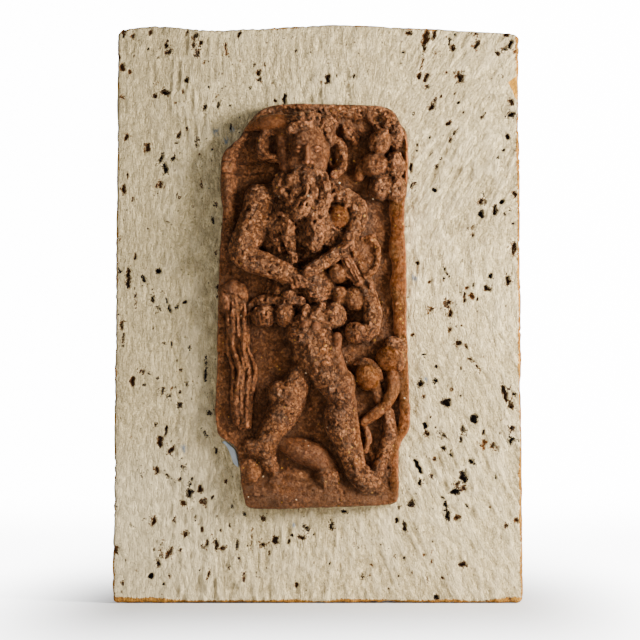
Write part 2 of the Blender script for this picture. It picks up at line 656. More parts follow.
def arms():
    skin = {"rough": 0.42, "gloss": 0.3}
    roll([[-41, 81, 11, 11.4], [-43, 69, 12.4, 11.2], [-48, 57, 13.4, 11], [-52.6, 46, 13.6, 10.2],
          [-48, 39.4, 14.6, 8.8], [-36, 35.4, 16, 8.4], [-24, 30, 17, 7.4]], 0.84, **skin)
    lump(-15.5, 26.5, 17, 9.4, 6.6, 5.6, -28, rough=0.45, gloss=0.3)
    for finger in range(4):
        roll([[-20 + finger * 3, 27.6 - finger * 0.7, 20.6, 2.2],
              [-17.4 + finger * 2.9, 20 + finger * 1.2, 19.4, 1.7]], rough=0.3, gloss=0.35, join=0.6)
    roll([[4, 85, 9, 6.2], [17, 83, 12, 6.6], [26.6, 76, 13, 6.8], [28, 66, 13, 6], [22, 52, 16, 5.2]],
         rough=0.65, gloss=0.15)
    lump(14.5, 69.5, 11, 10.4, 9.6, 8.8, rough=0.16, gloss=0.85, join=0.8)
    roll([[21.5, 49, 18.6, 4.9], [8, 40, 19.6, 5], [-7, 30.4, 19.6, 4.6]], rough=0.5, gloss=0.45, join=1)


def instrument():
    body = [(23, 46), (29, 53.5), (35, 55.6), (40.6, 51.5), (43.2, 42.5), (41.8, 34.5), (36.5, 28.3),
            (28, 22.8), (21, 26), (17, 34), (23, 46)]
    ring = smoothLine([[x, z, 0, 0] for x, z in body], 2.5)[:-1, :2]
    rx, rz = truePlace(ring[:, 0], ring[:, 1], 17)
    cuts = windowAround((14, 2, 18), (48, 26, 60))
    x, h, z = spots(cuts)
    rim = outlineDistance(np.stack([rx, rz], 1), x[:, 0, :], z[:, 0, :])[:, None, :]
    near = np.maximum(rim, h - 19) + 0 * x
    near = near.astype(np.float32)
    addClay(cuts, near, z + 0 * near, x + 0 * near, 1.2, 0.25, 0.6)
    roll([[28, 52.4, 17, 1.8], [35.6, 54, 18, 2.2], [41.2, 47.6, 18, 2.5], [41.6, 38, 18, 2.5],
          [37.4, 30.6, 18, 2.5], [30, 25, 17.5, 2]], rough=0.3, gloss=0.7, join=1)
    lump(38, 54.8, 16, 2.6, 2.4, 3.4, rough=0.3, gloss=0.5, join=1)
    lump(14.5, 29.4, 13, 7.4, 7.6, 8.4, 20, rough=0.25, gloss=0.5, join=1)
    roll([[17.8, 43.6, 17.6, 3.6], [22.8, 34, 18, 4], [28, 24, 17.6, 3.8]], 0.85, rough=0.2, gloss=0.4,
         join=0.8)


def curl():
    roll([[32.5, 25, 13, 5], [35.6, 14, 13, 6], [38.3, 3, 13, 6.6], [37.6, -7, 13, 6.6],
          [32, -13.6, 12, 6.4]], rough=0.5, gloss=0.4, join=1.6)
    roll([[35.4, 25, 17, 1.8], [39, 14, 17, 2], [42, 3, 16.6, 2.2], [41.6, -8, 16.6, 2.4],
          [35, -15.6, 16.6, 2.2]], rough=0.3, gloss=0.45, join=1.6)
    lump(26.5, -12.4, 13, 8, 7.4, 7.4, rough=0.35, gloss=0.55, join=0.8)
    roll([[27, -7.2, 18.4, 1.5], [31, -9, 18.6, 1.6], [30.6, -13.4, 18, 1.5], [27, -15.4, 18, 1.5]],
         rough=0.3, gloss=0.5, join=0.8)
    lump(15, 13.4, 11, 6.8, 7.8, 7.6, -20, rough=0.3, gloss=0.4, join=1)
    lump(25.4, 11.6, 12, 7.4, 9, 8, 25, rough=0.3, gloss=0.5, join=1)
    hollow(26, 0.2, 14, 5, 3.4, 7)


def loincloth():
    for i in range(6):
        turn = i / 6 * 2 * math.pi + 0.4
        lump(-0.5 + 9.6 * math.cos(turn), -1.4 + 5.2 * math.sin(turn), 16.6, 6, 3.6, 5.2,
             math.degrees(turn) * 0.6, rough=0.8, join=0.8)
    lump(-1, -2, 12, 13.4, 9, 9.6, rough=0.8, join=1.4)
    lump(-9.5, -6.6, 20.2, 3.4, 3.4, 3.4, rough=0.2, gloss=0.3, join=0.6)
    lump(-1.8, -8.2, 20.2, 4.1, 4.1, 4.1, rough=0.2, gloss=0.3, join=0.6)
    lump(12, 0, 12, 8.4, 9.4, 9.6, -18, rough=0.65, join=1.2)
    lump(-37.6, -0.2, 11, 9.6, 7.6, 8.4, 8, rough=0.4, gloss=0.3, join=1.2)
    lump(-23.5, 1, 11, 8, 9, 9, 15, rough=0.5, join=1.6)
    roll([[-49, 6.2, 9, 1.8], [-37, 11.4, 11, 3.6], [-12, 10, 14, 3.6]], rough=0.45, join=1)
    roll([[-33, 25, 8, 3.6], [-32.6, 12.5, 10, 3.6]], join=1)
    lump(-28.6, 18, 12, 4.2, 4.2, 5, rough=0.4, gloss=0.3, join=0.8)
    lump(-21, 14.4, 13, 4.8, 3.8, 5, rough=0.6, join=0.8)
    lump(-14.6, -13.4, 14, 7.2, 6.4, 8, -25, rough=0.4, join=0.8)


def legs():
    roll([[-6.5, -12, 7, 16], [-1.5, -26, 9, 14.8], [5, -39, 11, 12.6], [13, -51, 12, 10.6],
          [17.4, -62, 13, 9.4], [16.4, -73, 12, 11.4], [18.6, -84, 12, 10.2], [22.6, -97, 12, 7.9],
          [26, -109, 12, 7]], rough=0.46, gloss=0.3)
    roll([[13.4, -15, 14, 3.6], [13.4, -28, 17.4, 3.8], [19, -45, 18.4, 3.8], [23.4, -58, 17.4, 3],
          [25.4, -72, 16.6, 2.4], [28, -88, 15.6, 2.2], [31, -103, 14.6, 2.2]], rough=0.2, gloss=0.5,
         join=2.4)
    roll([[26, -108, 11, 7.6], [33, -115.5, 11, 8.8], [42.5, -120.5, 9, 6.4]], rough=0.55)
    lump(11, -72, 12, 7, 12, 9.4, rough=0.45, gloss=0.3, join=1)
    lump(16.8, -48, 13, 10, 11.4, 9.6, 20, rough=0.45, gloss=0.3, join=3)
    roll([[-10.5, -30, 9.6, 6.4], [-13.5, -44, 10.6, 8.2], [-20, -57, 11, 12], [-24.8, -68, 10, 11.6],
          [-31.5, -80, 9, 9.4], [-38, -91, 8, 8.8]], rough=0.4, gloss=0.3)
    lump(-26, -55, 13, 8.6, 10, 9.6, 20, rough=0.4, gloss=0.3, join=1)
    lump(-45.4, -92.5, 8, 6.6, 7.4, 7.4, rough=0.35, gloss=0.3)
    roll([[-37.5, -93, 8, 8], [-32.5, -105, 8, 5.6]], rough=0.45, gloss=0.3)
    roll([[-23, -90.5, 7, 5.6], [-13, -94.4, 8, 9], [-2, -98.4, 8, 9.4], [6, -105.5, 7, 7.4]],
         rough=0.16, gloss=0.05, join=1)


def strands():
    lump(-60.6, 13, 8, 9.4, 12.4, 7.2, -12, rough=0.2, gloss=0.3, join=1.2)
    lump(-54.4, 15, 7, 6.6, 8.6, 6.6, 10, rough=0.3, gloss=0.25, join=1)
    middle = [(-55.4, 7), (-55.4, -10), (-55, -24), (-51.4, -38), (-53, -56), (-52.4, -74)]
    roll([[x, z, 6.4, 7] for x, z in middle], 0.9, rough=0.2, gloss=0.3)
    ribbons = {-7.6: (2.0, 8.8), -4: (2.3, 10.6), -0.4: (1.7, 11.4), 3: (2.3, 10.8), 6.6: (1.8, 9)}
    for i, (offset, (wide, lift)) in enumerate(ribbons.items()):
        roll([[x + offset * (0.75 if k == 5 else 1) + 0.8 * math.sin(k * 1.9 + i * 2),
               z - (i if k == 5 else 0), lift + 0.7 * math.sin(k * 2.1 + i), wide]
              for k, (x, z) in enumerate(middle)], 1.7, rough=0.3, gloss=0.35, join=0.4)


def fruitsAndStems():
    round_ = {"rough": 0.2, "gloss": 0.9, "join": 0.6}
    leaf = {"rough": 0.4, "gloss": 0.4, "join": 0.9}
    lump(34.4, -42.8, 11, 9.4, 9.8, 9.6, **round_)
    roll([[26.6, -34, 11, 2.4], [34.5, -32.2, 13.6, 2.6], [41.4, -37, 13.6, 2.4], [44.6, -45, 11, 2]], **leaf)
    lump(50.2, -30.2, 11, 10, 10, 9.4, **round_)
    lump(54.6, -20.4, 11, 8, 5.4, 7, -25, rough=0.5, gloss=0.4, join=1)
    lump(57, -31, 12, 5, 8, 7, rough=0.4, gloss=0.4, join=1)
    roll([[52, -40, 12, 4.2], [53, -51, 12, 4.2], [47.6, -62, 12, 4.2], [39, -69.6, 12, 4],
          [31.5, -75, 11, 3.4]], rough=0.2, gloss=0.7, join=0.8)
    roll([[40, -50, 10, 4], [43, -59, 9, 3.6]], rough=0.3, gloss=0.4)
    roll([[49.6, -68, 10, 4], [50, -80, 11, 4.4], [47, -95, 11, 4.6], [40, -113, 10, 4.8]],
         rough=0.4, gloss=0.45, join=1.2)
    roll([[33, -78, 10, 2.2], [35.4, -86, 11, 2.4], [33, -95, 10, 2]], rough=0.2, gloss=0.5, join=0.8)


def smallFigure():
    lump(43.4, 121, 13, 7.8, 9.4, 8.4, -12, rough=0.35, gloss=0.35, join=1)
    lump(40, 105, 11, 10, 9.2, 9.2, rough=0.3, gloss=0.5, join=1.2)
    lump(53.6, 104.5, 9, 7.6, 10.6, 8.4, rough=0.8, join=1.4)
    lump(44.4, 90.2, 10, 9.2, 9.6, 8.8, rough=0.55, gloss=0.4, join=1.2)
    lump(54.6, 88.6, 10, 7.2, 10, 8, rough=0.7, join=1.6)
    roll([[31.6, 105.6, 9, 4.6], [28.4, 97, 10, 3.6]], rough=0.3, join=1.2)
    roll([[17, 130.6, 7, 3.4], [21.6, 127.4, 10, 4.6], [26, 122, 8, 3.4]], rough=0.5, join=1.6)
    roll([[31, 145.4, 9, 2.4], [43.4, 129.6, 10, 2.8]], rough=0.2, gloss=0.3)
    lump(49, 137.6, 8, 9, 8, 7.6, -40, rough=0.7, join=2)
    lump(54.8, 126, 8, 6, 11.4, 7, rough=0.7, join=1.6)


# Lines and marks left by the tool and the fingers

def incisedLines():
    heights = surfaceHeight()
    for i in range(4):        # strings
        shift = (i - 1.5) * 2.0
        groove([(18.4 + shift, 45.4 + shift * 0.5), (23.4 + shift, 35 + shift * 0.5),
                (28.8 + shift, 24.6 + shift * 0.5)], heights, 0.75, 1.3)
    for z, reach in ((108.4, 34), (100.4, 31)):        # lines across the ground
        groove([(-67, z), (-50, z - 1), (-67 + reach, z + 0.6)], heights, 0.9, 1.1)
    for z in (9.4, 12.4, 15.6):        # creases over the belly
        groove([(-5, z - 1.2), (2, z), (9.6, z + 1.4)], heights, 0.8, 1.2)
    for i in range(4):        # arcs on the clump
        groove([(-66.5 + i * 3.4, 17 - i), (-62 + i * 3.2, 12 - i), (-61.4 + i * 2.6, 3)], heights, 0.8, 1.3)
    for i in range(5):        # pleats on the hip
        groove([(-43 + i * 3, 3.6), (-42.4 + i * 3, -1), (-41.4 + i * 2.6, -5.6)], heights, 0.7, 1)
    for i in range(3):        # between the fingers
        groove([(-17.6 + i * 3, 26.6 - i * 0.6), (-15.4 + i * 2.9, 20.6 + i * 1.1)], heights, 0.6, 1)
    for i in range(5):        # hair on the crown
        turn = math.radians(150 - i * 30)
        groove([(-7 + 4 * math.cos(turn), 132 + 3 * math.sin(turn)),
                (-7 + 11 * math.cos(turn + 0.2), 133 + 8 * math.sin(turn + 0.2))], heights, 0.8, 1.1)
    for i in range(3):        # the tied strap
        groove([(-34 + i * 1.3, 24), (-33.6 + i * 1.3, 13)], heights, 0.5, 0.8)


scattered = [        # how many, the smallest and largest in mm, and raised crumbs or gouges
    (900, 0.6, 1.1, True),
    (2400, 0.45, 0.95, False),
]


def crumbleClay():        # loose crumbs and small gouges, thickest where the clay is crumbly
    heights = surfaceHeight()
    for number, low, high, raised in scattered:
        xs = luck.uniform(-72, 65, number)
        zs = luck.uniform(-135, 148, number)
        sizes = luck.uniform(low, high, number)
        turns = luck.normal(math.pi / 2, 0.5, number)
        chances = luck.uniform(0, 1, number)
        for x, z, size, turn, chance in zip(xs, zs, sizes, turns, chances):
            h = float(heightAt(heights, np.array([x]), np.array([z]))[0])
            i, j, k = (int((v - low_) / clay["voxel"]) for v, low_ in zip((x, h, z), clay["low"]))
            i, j, k = min(i, shape[0] - 1), min(max(j, 0), shape[1] - 1), min(k, shape[2] - 1)
            if chance > crumb[i, j, k] ** 1.3:
                continue
            long, room = size * 2, 1.5
            cuts = windowAround((x - long - room, h - size - room, z - long - room),
                                (x + long + room, h + size + room, z + long + room))
            px, ph, pz = spots(cuts)
            u, v = turned(px - x, pz - z, turn)
            near = (np.sqrt((u / long) ** 2 + ((ph - h) / size) ** 2 + (v / size) ** 2) - 1) * size
            near = near.astype(np.float32)
            if raised:
                meltIn(cuts, near, 1.2)
            else:
                cutClay(cuts, near, 0.5)


handwork = {        # how strong each kind of unevenness is, in mm
    "swell": 0.8, "knobs": 0.45, "grit": 0.45, "flutes": 0.55, "creases": 0.9, "facets": 0.9, "torn": 1.3,
    "dents": 0.9,
}


def roughenClay():        # strokes that follow each form, torn pits, and an uneven swell
    smooth = np.clip(sheen, 0, 1)
    rough = np.clip(crumb, 0, 1)
    swell = latticeNoise(shape, (12, 12, 12), luck)
    knobs = latticeNoise(shape, (5.4, 5.4, 5.4), luck)
    grit = latticeNoise(shape, (2.4, 2.4, 2.4), luck)
    flutes = tableNoise(grainAcross / 3.1, grainAlong / 10, 61)
    creases = np.abs(tableNoise(grainAcross / 1.9, grainAlong / 6, 62))
    torn = np.clip(tableNoise(grainAcross / 2.1, grainAlong / 3.4, 63) - 0.3, 0, 1)
    facets = np.abs(tableNoise(grainAcross / 6.5, grainAlong / 8, 64))
    push = (0.3 + 0.5 * rough) * handwork["swell"] * swell + (0.15 + 0.8 * rough) * handwork["knobs"] * knobs
    push += (0.1 + 0.9 * rough) * handwork["grit"] * grit
    strokesOnly = handwork["flutes"] * flutes - handwork["creases"] * creases + 0.3
    push += (0.12 + 0.85 * rough) * strokesOnly * (1 - 0.6 * smooth)
    push += handwork["facets"] * (0.35 - facets) * (0.3 + rough)
    push += handwork["torn"] * torn * rough ** 1.2
    dents = latticeNoise(shape, (9, 9, 9), luck)
    push += handwork["dents"] * np.clip(dents - 0.25, 0, 1) * (0.4 + smooth)
    field[:] += push.astype(np.float32)


def trimSlab():        # the edge of the slab and its flat back
    ring = slabOutline()
    x, h, z = spots((slice(None), slice(None), slice(None)))
    edge = outlineDistance(ring, x[:, 0, :], z[:, 0, :])
    wave = latticeNoise((shape[0], shape[2]), (7, 7), luck)
    edge = edge + clay["trim"] + 0.35 * wave
    edge3 = np.broadcast_to(edge[:, None, :], shape)
    join = 2.4        # how far the slab's edge is rounded
    share = np.clip(0.5 - 0.5 * (field - edge3) / join, 0, 1)
    field[:] = field * (1 - share) + edge3 * share + join * share * (1 - share)
    onEdge = np.clip(1 + edge3 / 1.6, 0, 1)
    sheen[:] = np.maximum(sheen, onEdge * 0.8)
    field[:] = np.maximum(field, clay["back"] - h)


def boxBlur(values, reach):        # the mean of each sample's neighbours, this many to each side
    for axis in range(3):
        padded = np.pad(values, [(reach + 1, reach) if a == axis else (0, 0) for a in range(3)], "edge")
        total = np.cumsum(padded, axis=axis, dtype=np.float64)
        count = values.shape[axis]
        upper = np.take(total, range(2 * reach + 1, 2 * reach + 1 + count), axis)
        lower = np.take(total, range(0, count), axis)
        values = ((upper - lower) / (2 * reach + 1)).astype(np.float32)
    return values


def sampleAt(values, places):        # trilinear, places in mm as x, h, z
    local = (places - np.array(clay["low"])) / clay["voxel"]
    local = np.clip(local, 0, np.array(shape) - 1.001)
    base = local.astype(int)
    t = local - base
    out = np.zeros(len(places))
    for corner in range(8):
        step = np.array([(corner >> a) & 1 for a in range(3)])
        weight = np.prod(np.where(step, t, 1 - t), axis=1)
        i, j, k = (base + step).T
        out += weight * values[i, j, k]
    return out


def meshClay():
    grid = openvdb.FloatGrid(clay["far"])
    grid.copyFromArray(np.ascontiguousarray(field))
    points, triangles, quads = grid.convertToPolygons(isovalue=0.0, adaptivity=0.0)
    places = np.asarray(points, float) * clay["voxel"] + np.array(clay["low"])
    faces = [tuple(int(v) for v in face[::-1]) for face in quads]
    faces += [tuple(int(v) for v in face[::-1]) for face in triangles]
    mesh = bpy.data.meshes.new("claySkin")
    inMetres = np.stack([places[:, 0], -(corkFace + places[:, 1]), places[:, 2]], 1) * mm
    mesh.from_pydata(inMetres.tolist(), [], faces)
    mesh.update()
    return mesh


def thinned(mesh):        # fewer triangles where the clay is flat
    holder = placed("thinning", mesh)
    count = sum(len(face.vertices) - 2 for face in mesh.polygons)
    decimate = holder.modifiers.new("fewer", "DECIMATE")
    decimate.ratio = min(1.0, clay["triangles"] / count)
    bpy.context.view_layer.update()
    final = holder.evaluated_get(bpy.context.evaluated_depsgraph_get())
    lighter = bpy.data.meshes.new_from_object(final)
    bpy.data.objects.remove(holder)
    return lighter


def keepWholeAndCapBack(mesh):        # one shell, with the flat back made of a few large faces
    work = bmesh.new()
    work.from_mesh(mesh)
    work.verts.ensure_lookup_table()
    seen = set()
    shells = []
    for vert in work.verts:
        if vert.index in seen:
            continue
        shell = [vert]
        seen.add(vert.index)
        for member in shell:
            for edge in member.link_edges:
                other = edge.other_vert(member)
                if other.index not in seen:
                    seen.add(other.index)
                    shell.append(other)
        shells.append(shell)
    shells.sort(key=len, reverse=True)
    stray = [vert for shell in shells[1:] for vert in shell]
    bmesh.ops.delete(work, geom=stray, context="VERTS")
    flatBack = -(corkFace + clay["back"] + 0.35) * mm
    flat = [face for face in work.faces if all(vert.co.y > flatBack for vert in face.verts)]
    bmesh.ops.delete(work, geom=flat, context="FACES")
    rim = [edge for edge in work.edges if edge.is_boundary]
    for vert in {vert for edge in rim for vert in edge.verts}:
        vert.co.y = -(corkFace + clay["back"]) * mm
    bmesh.ops.triangle_fill(work, use_beauty=False, edges=rim)
    loose = [vert for vert in work.verts if not vert.link_faces]
    bmesh.ops.delete(work, geom=loose, context="VERTS")
    bmesh.ops.recalc_face_normals(work, faces=work.faces)
    work.to_mesh(mesh)
    work.free()


def paintPoints(mesh, name, values):
    layer = mesh.attributes.new(name, "FLOAT", "POINT")
    layer.data.foreach_set("value", np.asarray(values, np.float32))


def pointPlaces(mesh):        # back to mm as x, h, z
    flat = np.empty(len(mesh.vertices) * 3)
    mesh.vertices.foreach_get("co", flat)
    places = flat.reshape(-1, 3) / mm
    return np.stack([places[:, 0], -places[:, 1] - corkFace, places[:, 2]], 1)


crumbSettings = {
    "Facet Depth": 0.0011,
    "Facets Per Metre": 380.0,
    "Crumbs Per Square Metre": 70000.0,
    "Crumb Size": 0.00055,
    "Seed": 3,
}


def makeCrumbTree(material):        # breaks the skin into small facets and scatters loose crumbs on it
    tree = bpy.data.node_groups.new("crumblySkin", "GeometryNodeTree")
    tree.interface.new_socket("Skin", in_out="INPUT", socket_type="NodeSocketGeometry")
    for name, value in crumbSettings.items():
        kind = "NodeSocketInt" if isinstance(value, int) else "NodeSocketFloat"
        tree.interface.new_socket(name, in_out="INPUT", socket_type=kind).default_value = value
    tree.interface.new_socket("Skin", in_out="OUTPUT", socket_type="NodeSocketGeometry")
    given = tree.nodes.new("NodeGroupInput").outputs
    loose, front = (put(tree, "GeometryNodeInputNamedAttribute", data_type="FLOAT",
                        Name=name).outputs["Attribute"] for name in ("crumb", "front"))
    amount = times(loose, front)
    cells = put(tree, "ShaderNodeTexVoronoi", Scale=given["Facets Per Metre"])
    rough = put(tree, "ShaderNodeTexNoise", Scale=520.0, Detail=3.0)
    torn = plus(minus(0.45, cells.outputs["Distance"]), minus(rough.outputs["Fac"], 0.5))
    outward = tree.nodes.new("GeometryNodeInputNormal").outputs["Normal"]
    away = scaledVector(outward, times(torn, amount, given["Facet Depth"]))
    skin = put(tree, "GeometryNodeSetPosition", Geometry=given["Skin"], Offset=away).outputs["Geometry"]
    dense = times(calc("POWER", amount, 2.0), given["Crumbs Per Square Metre"])
    scatter = put(tree, "GeometryNodeDistributePointsOnFaces", Mesh=skin, Density=dense,
                  Seed=given["Seed"]).outputs
    crumbShape = put(tree, "GeometryNodeMeshIcoSphere", Radius=given["Crumb Size"], Subdivisions=1)
    size = put(tree, "FunctionNodeRandomValue", data_type="FLOAT_VECTOR")
    size.inputs[0].default_value = (0.5, 0.5, 0.4)
    size.inputs[1].default_value = (1.7, 1.2, 0.8)
    crumbs = put(tree, "GeometryNodeInstanceOnPoints", Points=scatter["Points"],
                 Instance=crumbShape.outputs["Mesh"], Rotation=scatter["Rotation"], Scale=size.outputs[0])
    joined = put(tree, "GeometryNodeJoinGeometry", Geometry=crumbs.outputs["Instances"])
    feed(joined.inputs["Geometry"], skin)
    real = put(tree, "GeometryNodeRealizeInstances", Geometry=joined.outputs["Geometry"])
    dressed = put(tree, "GeometryNodeSetMaterial", Geometry=real.outputs["Geometry"], Material=material)
    feed(tree.nodes.new("NodeGroupOutput").inputs["Skin"], dressed.outputs["Geometry"])
    return tree


def grown(piece, tree, settings):        # the piece's mesh after a node tree with these inputs
    modifier = piece.modifiers.new(tree.name, "NODES")
    modifier.node_group = tree
    for item in tree.interface.items_tree:
        if item.item_type == "SOCKET" and item.in_out == "INPUT" and item.name in settings:
            modifier[item.identifier] = settings[item.name]
    bpy.context.view_layer.update()
    final = piece.evaluated_get(bpy.context.evaluated_depsgraph_get())
    mesh = bpy.data.meshes.new_from_object(final)
    piece.modifiers.clear()
    piece.data = mesh
    return mesh


def makeRelief(material):
    layGround()
    for step in (margins, baseGround, trunk, hairHornsAndEars, face, beard, strands, legs, loincloth,
                 curl, instrument, arms, fruitsAndStems, smallFigure):
        step()
    print("relief modelled")
    incisedLines()
    crumbleClay()
    roughenClay()
    trimSlab()
    print("relief finished by hand")
    mesh = thinned(meshClay())
    keepWholeAndCapBack(mesh)
    places = pointPlaces(mesh)
    solid = np.clip(0.5 - field / clay["voxel"], 0, 1)
    paintPoints(mesh, "pitted", sampleAt(boxBlur(solid, 1), places))
    paintPoints(mesh, "sunk", sampleAt(boxBlur(boxBlur(solid, 5), 5), places))
    nearest = [np.clip(np.rint((places[:, a] - clay["low"][a]) / clay["voxel"]).astype(int), 0, shape[a] - 1)
               for a in range(3)]
    paintPoints(mesh, "grainAlong", grainAlong[tuple(nearest)])
    paintPoints(mesh, "grainAcross", grainAcross[tuple(nearest)])
    paintPoints(mesh, "crumb", sampleAt(crumb, places))
    paintPoints(mesh, "sheen", sampleAt(sheen, places))
    edge = outlineDistance(slabOutline(), places[:, 0], places[:, 2])
    paintPoints(mesh, "front", np.clip((places[:, 1] - 4) / 4, 0, 1) * np.clip((-edge - 1.5) / 2, 0, 1))
    piece = placed("terracotta_relief_skin", mesh)
    mesh = grown(piece, makeCrumbTree(material), crumbSettings)
    mesh.shade_smooth()
    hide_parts("terracotta_relief")
    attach(piece, "root")
    print("relief meshed:", sum(len(face.vertices) - 2 for face in mesh.polygons), "triangles")


clayTint = {
    "dark": (0.066, 0.0172, 0.0032), "light": (0.112, 0.034, 0.0058), "patch": (0.155, 0.041, 0.0028),
    "drawn": (0.17, 0.051, 0.010), "plain": (0.062, 0.0148, 0.0034),
    "wax": (0.102, 0.0235, 0.0006), "oldWax": (0.082, 0.0255, 0.0013),
    "dust": (0.34, 0.134, 0.05), "crest": (0.48, 0.178, 0.064), "lit": (0.52, 0.205, 0.076),
    "proud": (0.5, 0.17, 0.064), "shady": (0.045, 0.013, 0.0036), "sunk": (0.026, 0.0075, 0.0017),
    "pitted": (0.01, 0.0034, 0.0012), "hole": (0.018, 0.0058, 0.0018), "crack": (0.007, 0.0027, 0.0011),
    "darkGrit": (0.022, 0.0068, 0.0017), "lightGrit": (0.34, 0.108, 0.028), "soil": (0.048, 0.0165, 0.0045),
    "ochre": (0.46, 0.21, 0.03), "pale": (0.7, 0.5, 0.3), "glint": (1.0, 0.66, 0.44),
}


def makeTerracotta(grainGroup, fleckGroup, facetGroup):
    material, tree, shader = newMaterial("terracotta")
    place = objectPlace(tree)
    crumbly, pressed = attribute(tree, "crumb"), attribute(tree, "pitted")
    stroke = put(tree, "ShaderNodeCombineXYZ", X=attribute(tree, "grainAcross"),
                 Y=times(attribute(tree, "grainAlong"), 0.4)).outputs[0]
    broad = noise(place, 38.0, 4.0)
    fine = noise(place, 300.0, 4.0, 0.65)
    torn = noise(place, 620.0, 5.0, 0.75)
    drawn = noise(stroke, 0.8, 5.0, 0.7)
    grit = noise(stroke, 1.5, 3.0, 0.65)
    rough = remap(crumbly, 0.0, 0.55)
    gloss = remap(attribute(tree, "sheen"), 0.35, 0.95)
    sunk = remap(attribute(tree, "sunk"), 0.44, 0.7)
    broken = plus(times(rough, 0.8), 0.12)
    chips = useGroup(tree, facetGroup, Place=place, Scale=270.0, Tilt=0.85)
    crumbs = useGroup(tree, facetGroup, Place=place, Scale=640.0, Tilt=0.9)
    crack = times(chips["Edge"], remap(fine, 0.42, 0.52), plus(times(rough, 0.85), 0.1))
    loose = plus(rough, 0.1)
    loose.node.use_clamp = True
    patch = remap(noise(place, 55.0, 4.0, 0.6), 0.52, 0.64)
    plain = times(remap(rough, 0.5, 0.2, 0.0, 0.5), minus(1.0, gloss))
    soiled = times(remap(apart(place)[2], -0.108, -0.122, 0.0, 0.55), remap(broad, 0.35, 0.55))
    ochre = useGroup(tree, fleckGroup, Place=place, Scale=560.0, Share=0.1, Radius=0.33)["Mask"]
    pale = useGroup(tree, fleckGroup, Place=place, Scale=600.0, Share=0.0025, Radius=0.34)["Mask"]
    gathered = remap(noise(place, 60.0, 2.0), 0.53, 0.6)
    waxed = blend(remap(broad, 0.42, 0.6), clayTint["wax"], clayTint["oldWax"])
    color = layered(
        blend(remap(broad, 0.35, 0.65), clayTint["dark"], clayTint["light"]),
        (times(patch, 0.7), clayTint["patch"]),
        (remap(drawn, 0.45, 0.68, 0.0, 0.4), clayTint["drawn"]),
        (plain, clayTint["plain"]),
        (gloss, waxed),
        (times(remap(crumbly, 0.35, 0.95), 0.7), clayTint["dust"]),
        (times(remap(torn, 0.54, 0.62), loose, 0.65), clayTint["crest"]),
        (times(remap(crumbs["Shade"], 0.62, 0.8), times(rough, 0.75)), clayTint["lit"]),
        (times(remap(pressed, 0.49, 0.36), 0.65), clayTint["proud"]),
        (times(remap(chips["Shade"], 0.35, 0.15), times(rough, 0.7)), clayTint["shady"]),
        (times(sunk, 0.62), clayTint["sunk"]),
        (times(remap(pressed, 0.53, 0.68), 0.7), clayTint["pitted"]),
        (times(remap(torn, 0.46, 0.39), loose, 0.66), clayTint["hole"]),
        (times(crack, 0.85), clayTint["crack"]),
        (remap(grit, 0.45, 0.37, 0.0, 0.65), clayTint["darkGrit"]),
        (remap(grit, 0.56, 0.64, 0.0, 0.3), clayTint["lightGrit"]),
        (soiled, clayTint["soil"]),
        (times(ochre, gathered, 0.85), clayTint["ochre"]),
        (pale, clayTint["pale"]))
    feed(shader.inputs["Base Color"], color)
    feed(shader.inputs["Roughness"], plus(remap(gloss, 0.0, 1.0, 0.38, 0.24), times(fine, 0.2)))
    feed(shader.inputs["Specular IOR Level"], remap(gloss, 0.0, 1.0, 0.45, 0.2))
    feed(shader.inputs["Specular Tint"], (*clayTint["glint"], 1))
    grain = useGroup(tree, grainGroup, Place=place, Size=0.8)["Height"]
    swept = plus(times(grain, 0.0005), times(drawn, 0.0008), times(grit, 0.0008),
                 times(torn, times(broken, 0.0012)))
    height = plus(times(plus(chips["Height"], crumbs["Height"]), broken),
                  times(swept, remap(gloss, 0.0, 1.0, 1.0, 0.5)))
    bumpy(shader, minus(height, times(crack, 0.0005)))
    return material


# The slab of cork: a painted, pitted front, bare sawn sides and a plain back

board = {
    "corners": {"topLeft": (-140.6, 201), "topRight": (141, 201), "bottomRight": (144.2, -201.4),
                "bottomLeft": (-144.4, -201.4)},
    "topEdge": [(-141, 200.4), (-114, 203.6), (-95, 202.2), (-66, 200.2), (-49, 201.8), (-28, 202.2),
                (10, 204.6), (33, 203.8), (54, 202.6), (85, 200.9), (117, 199.3), (141, 197.6)],
    "round": 4.0,
    "wave": 0.7,
    "pitch": 1.0,             # mm between the front's points
    "bevel": 1.6,
    "sideRows": 7,
    "seed": 5,
    "wide": 286,
    "tall": 402,
    "span": (282, 400),       # mm inside the frayed edge, across and up
    "run": (400, 279),        # mm of waves along a side and along the top
    "frayed": 14.0,           # mm over which the edge's waves fade out
    "smallPits": 300,
}

